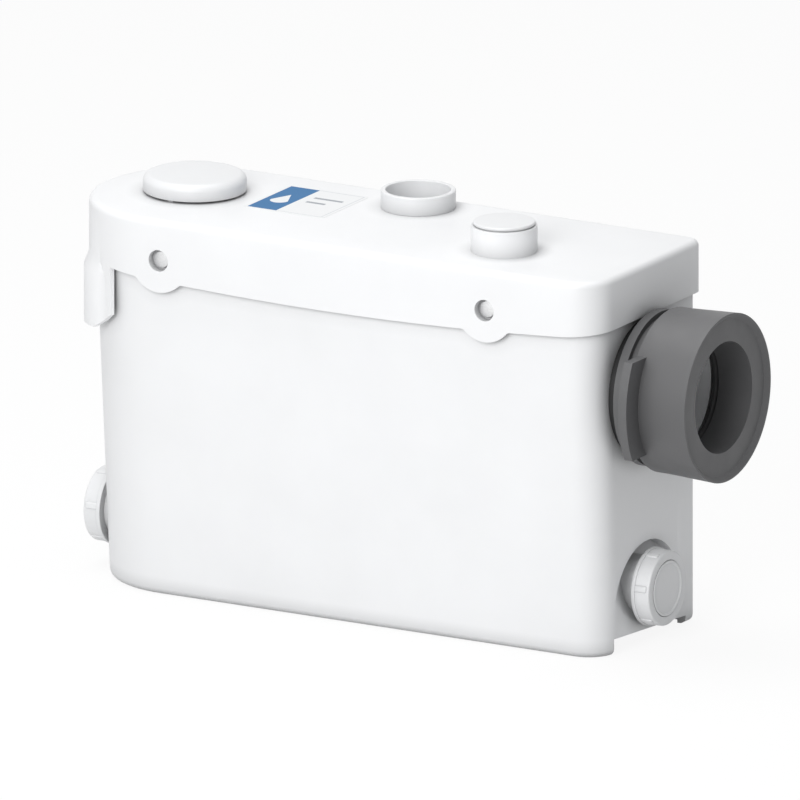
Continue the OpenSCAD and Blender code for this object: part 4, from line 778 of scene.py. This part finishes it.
sticker_mesh = rounded_sheet("sticker", STICKER_MIDDLE, STICKER_SIZE, STICKER_CORNER, STICKER_THICKNESS)
print("sticker in mm:", [round(c / MM, 1) for c in STICKER_SIZE])

# %% Sticker print
sticker_paper = bpy.data.materials.new("sticker_paper")
sticker_paper.use_nodes = True
paper_tree = sticker_paper.node_tree
paper_surface = paper_tree.nodes["Principled BSDF"]
paper_coords = paper_tree.nodes.new("ShaderNodeTexCoord").outputs["Object"]
centred = paper_tree.nodes.new("ShaderNodeMapping")
centred.inputs["Location"].default_value = (-STICKER_MIDDLE.x / MM, -STICKER_MIDDLE.y / MM, 0.0)
centred.inputs["Scale"].default_value = (1 / MM, 1 / MM, 1 / MM)
paper_tree.links.new(paper_coords, centred.inputs["Vector"])
parts = paper_tree.nodes.new("ShaderNodeSeparateXYZ")
paper_tree.links.new(centred.outputs["Vector"], parts.inputs[0])
across, along = parts.outputs["X"], parts.outputs["Y"]


def inside_box(x_mid, y_mid, half_x, half_y):
    """1 inside a box of the sticker, in mm from its middle."""
    x_off = math_node(paper_tree, "ABSOLUTE", math_node(paper_tree, "SUBTRACT", across, x_mid))
    y_off = math_node(paper_tree, "ABSOLUTE", math_node(paper_tree, "SUBTRACT", along, y_mid))
    return math_node(
        paper_tree, "MULTIPLY", math_node(paper_tree, "LESS_THAN", x_off, half_x),
        math_node(paper_tree, "LESS_THAN", y_off, half_y))


def inside_drop(x_mid, y_mid, radius, tip):
    """1 inside a drop: a circle whose upper half narrows to a tip."""
    x_off = math_node(paper_tree, "ABSOLUTE", math_node(paper_tree, "SUBTRACT", across, x_mid))
    y_off = math_node(paper_tree, "SUBTRACT", along, y_mid)
    rise = math_node(paper_tree, "MAXIMUM", y_off, 0.0)
    fall = math_node(paper_tree, "MINIMUM", y_off, 0.0)
    half = math_node(
        paper_tree, "SQRT", math_node(paper_tree, "MAXIMUM", math_node(
            paper_tree, "SUBTRACT", radius * radius, math_node(paper_tree, "MULTIPLY", fall, fall)), 0.0))
    taper = math_node(paper_tree, "SUBTRACT", 1.0, math_node(paper_tree, "DIVIDE", rise, tip))
    taper = math_node(paper_tree, "MAXIMUM", taper, 0.0)
    return math_node(paper_tree, "LESS_THAN", x_off, math_node(paper_tree, "MULTIPLY", half, taper))


PAPER = (0.82, 0.825, 0.83)
BLUE = (0.03, 0.15, 0.34)
GREY = (0.35, 0.37, 0.4)
FRAME_GREY = (0.55, 0.57, 0.6)
DROP_WHITE = (0.8, 0.81, 0.82)
frame_line = math_node(paper_tree, "SUBTRACT", inside_box(0, 0, 31, 32), inside_box(0, 0, 30.4, 31.4))
PRINTS = (
    (frame_line, FRAME_GREY),
    (inside_box(-19, 0, 12, 32), BLUE),
    (inside_drop(-19, -6, 7, 17), DROP_WHITE),
    (inside_box(12, 12, 12, 1.8), GREY),
    (inside_box(8, 0, 8, 1.8), GREY),
)
ink = rgba(PAPER)
for area, colour in PRINTS:
    ink = mixed(paper_tree, area, ink, rgba(colour))
paper_tree.links.new(ink, paper_surface.inputs["Base Color"])
paper_grain = noise(paper_tree, paper_coords, 900.0, 3.0)
paper_tree.links.new(relief(paper_tree, paper_grain, 0.04, 0.1 * MM), paper_surface.inputs["Normal"])
paper_surface.inputs["Roughness"].default_value = 0.5
paper_surface.inputs["Specular IOR Level"].default_value = 0.2
sticker_mesh.materials.append(sticker_paper)
add_piece("lid_sticker", sticker_mesh, "pump", "white_shell")
print("sticker has", len(PRINTS), "printed shapes")
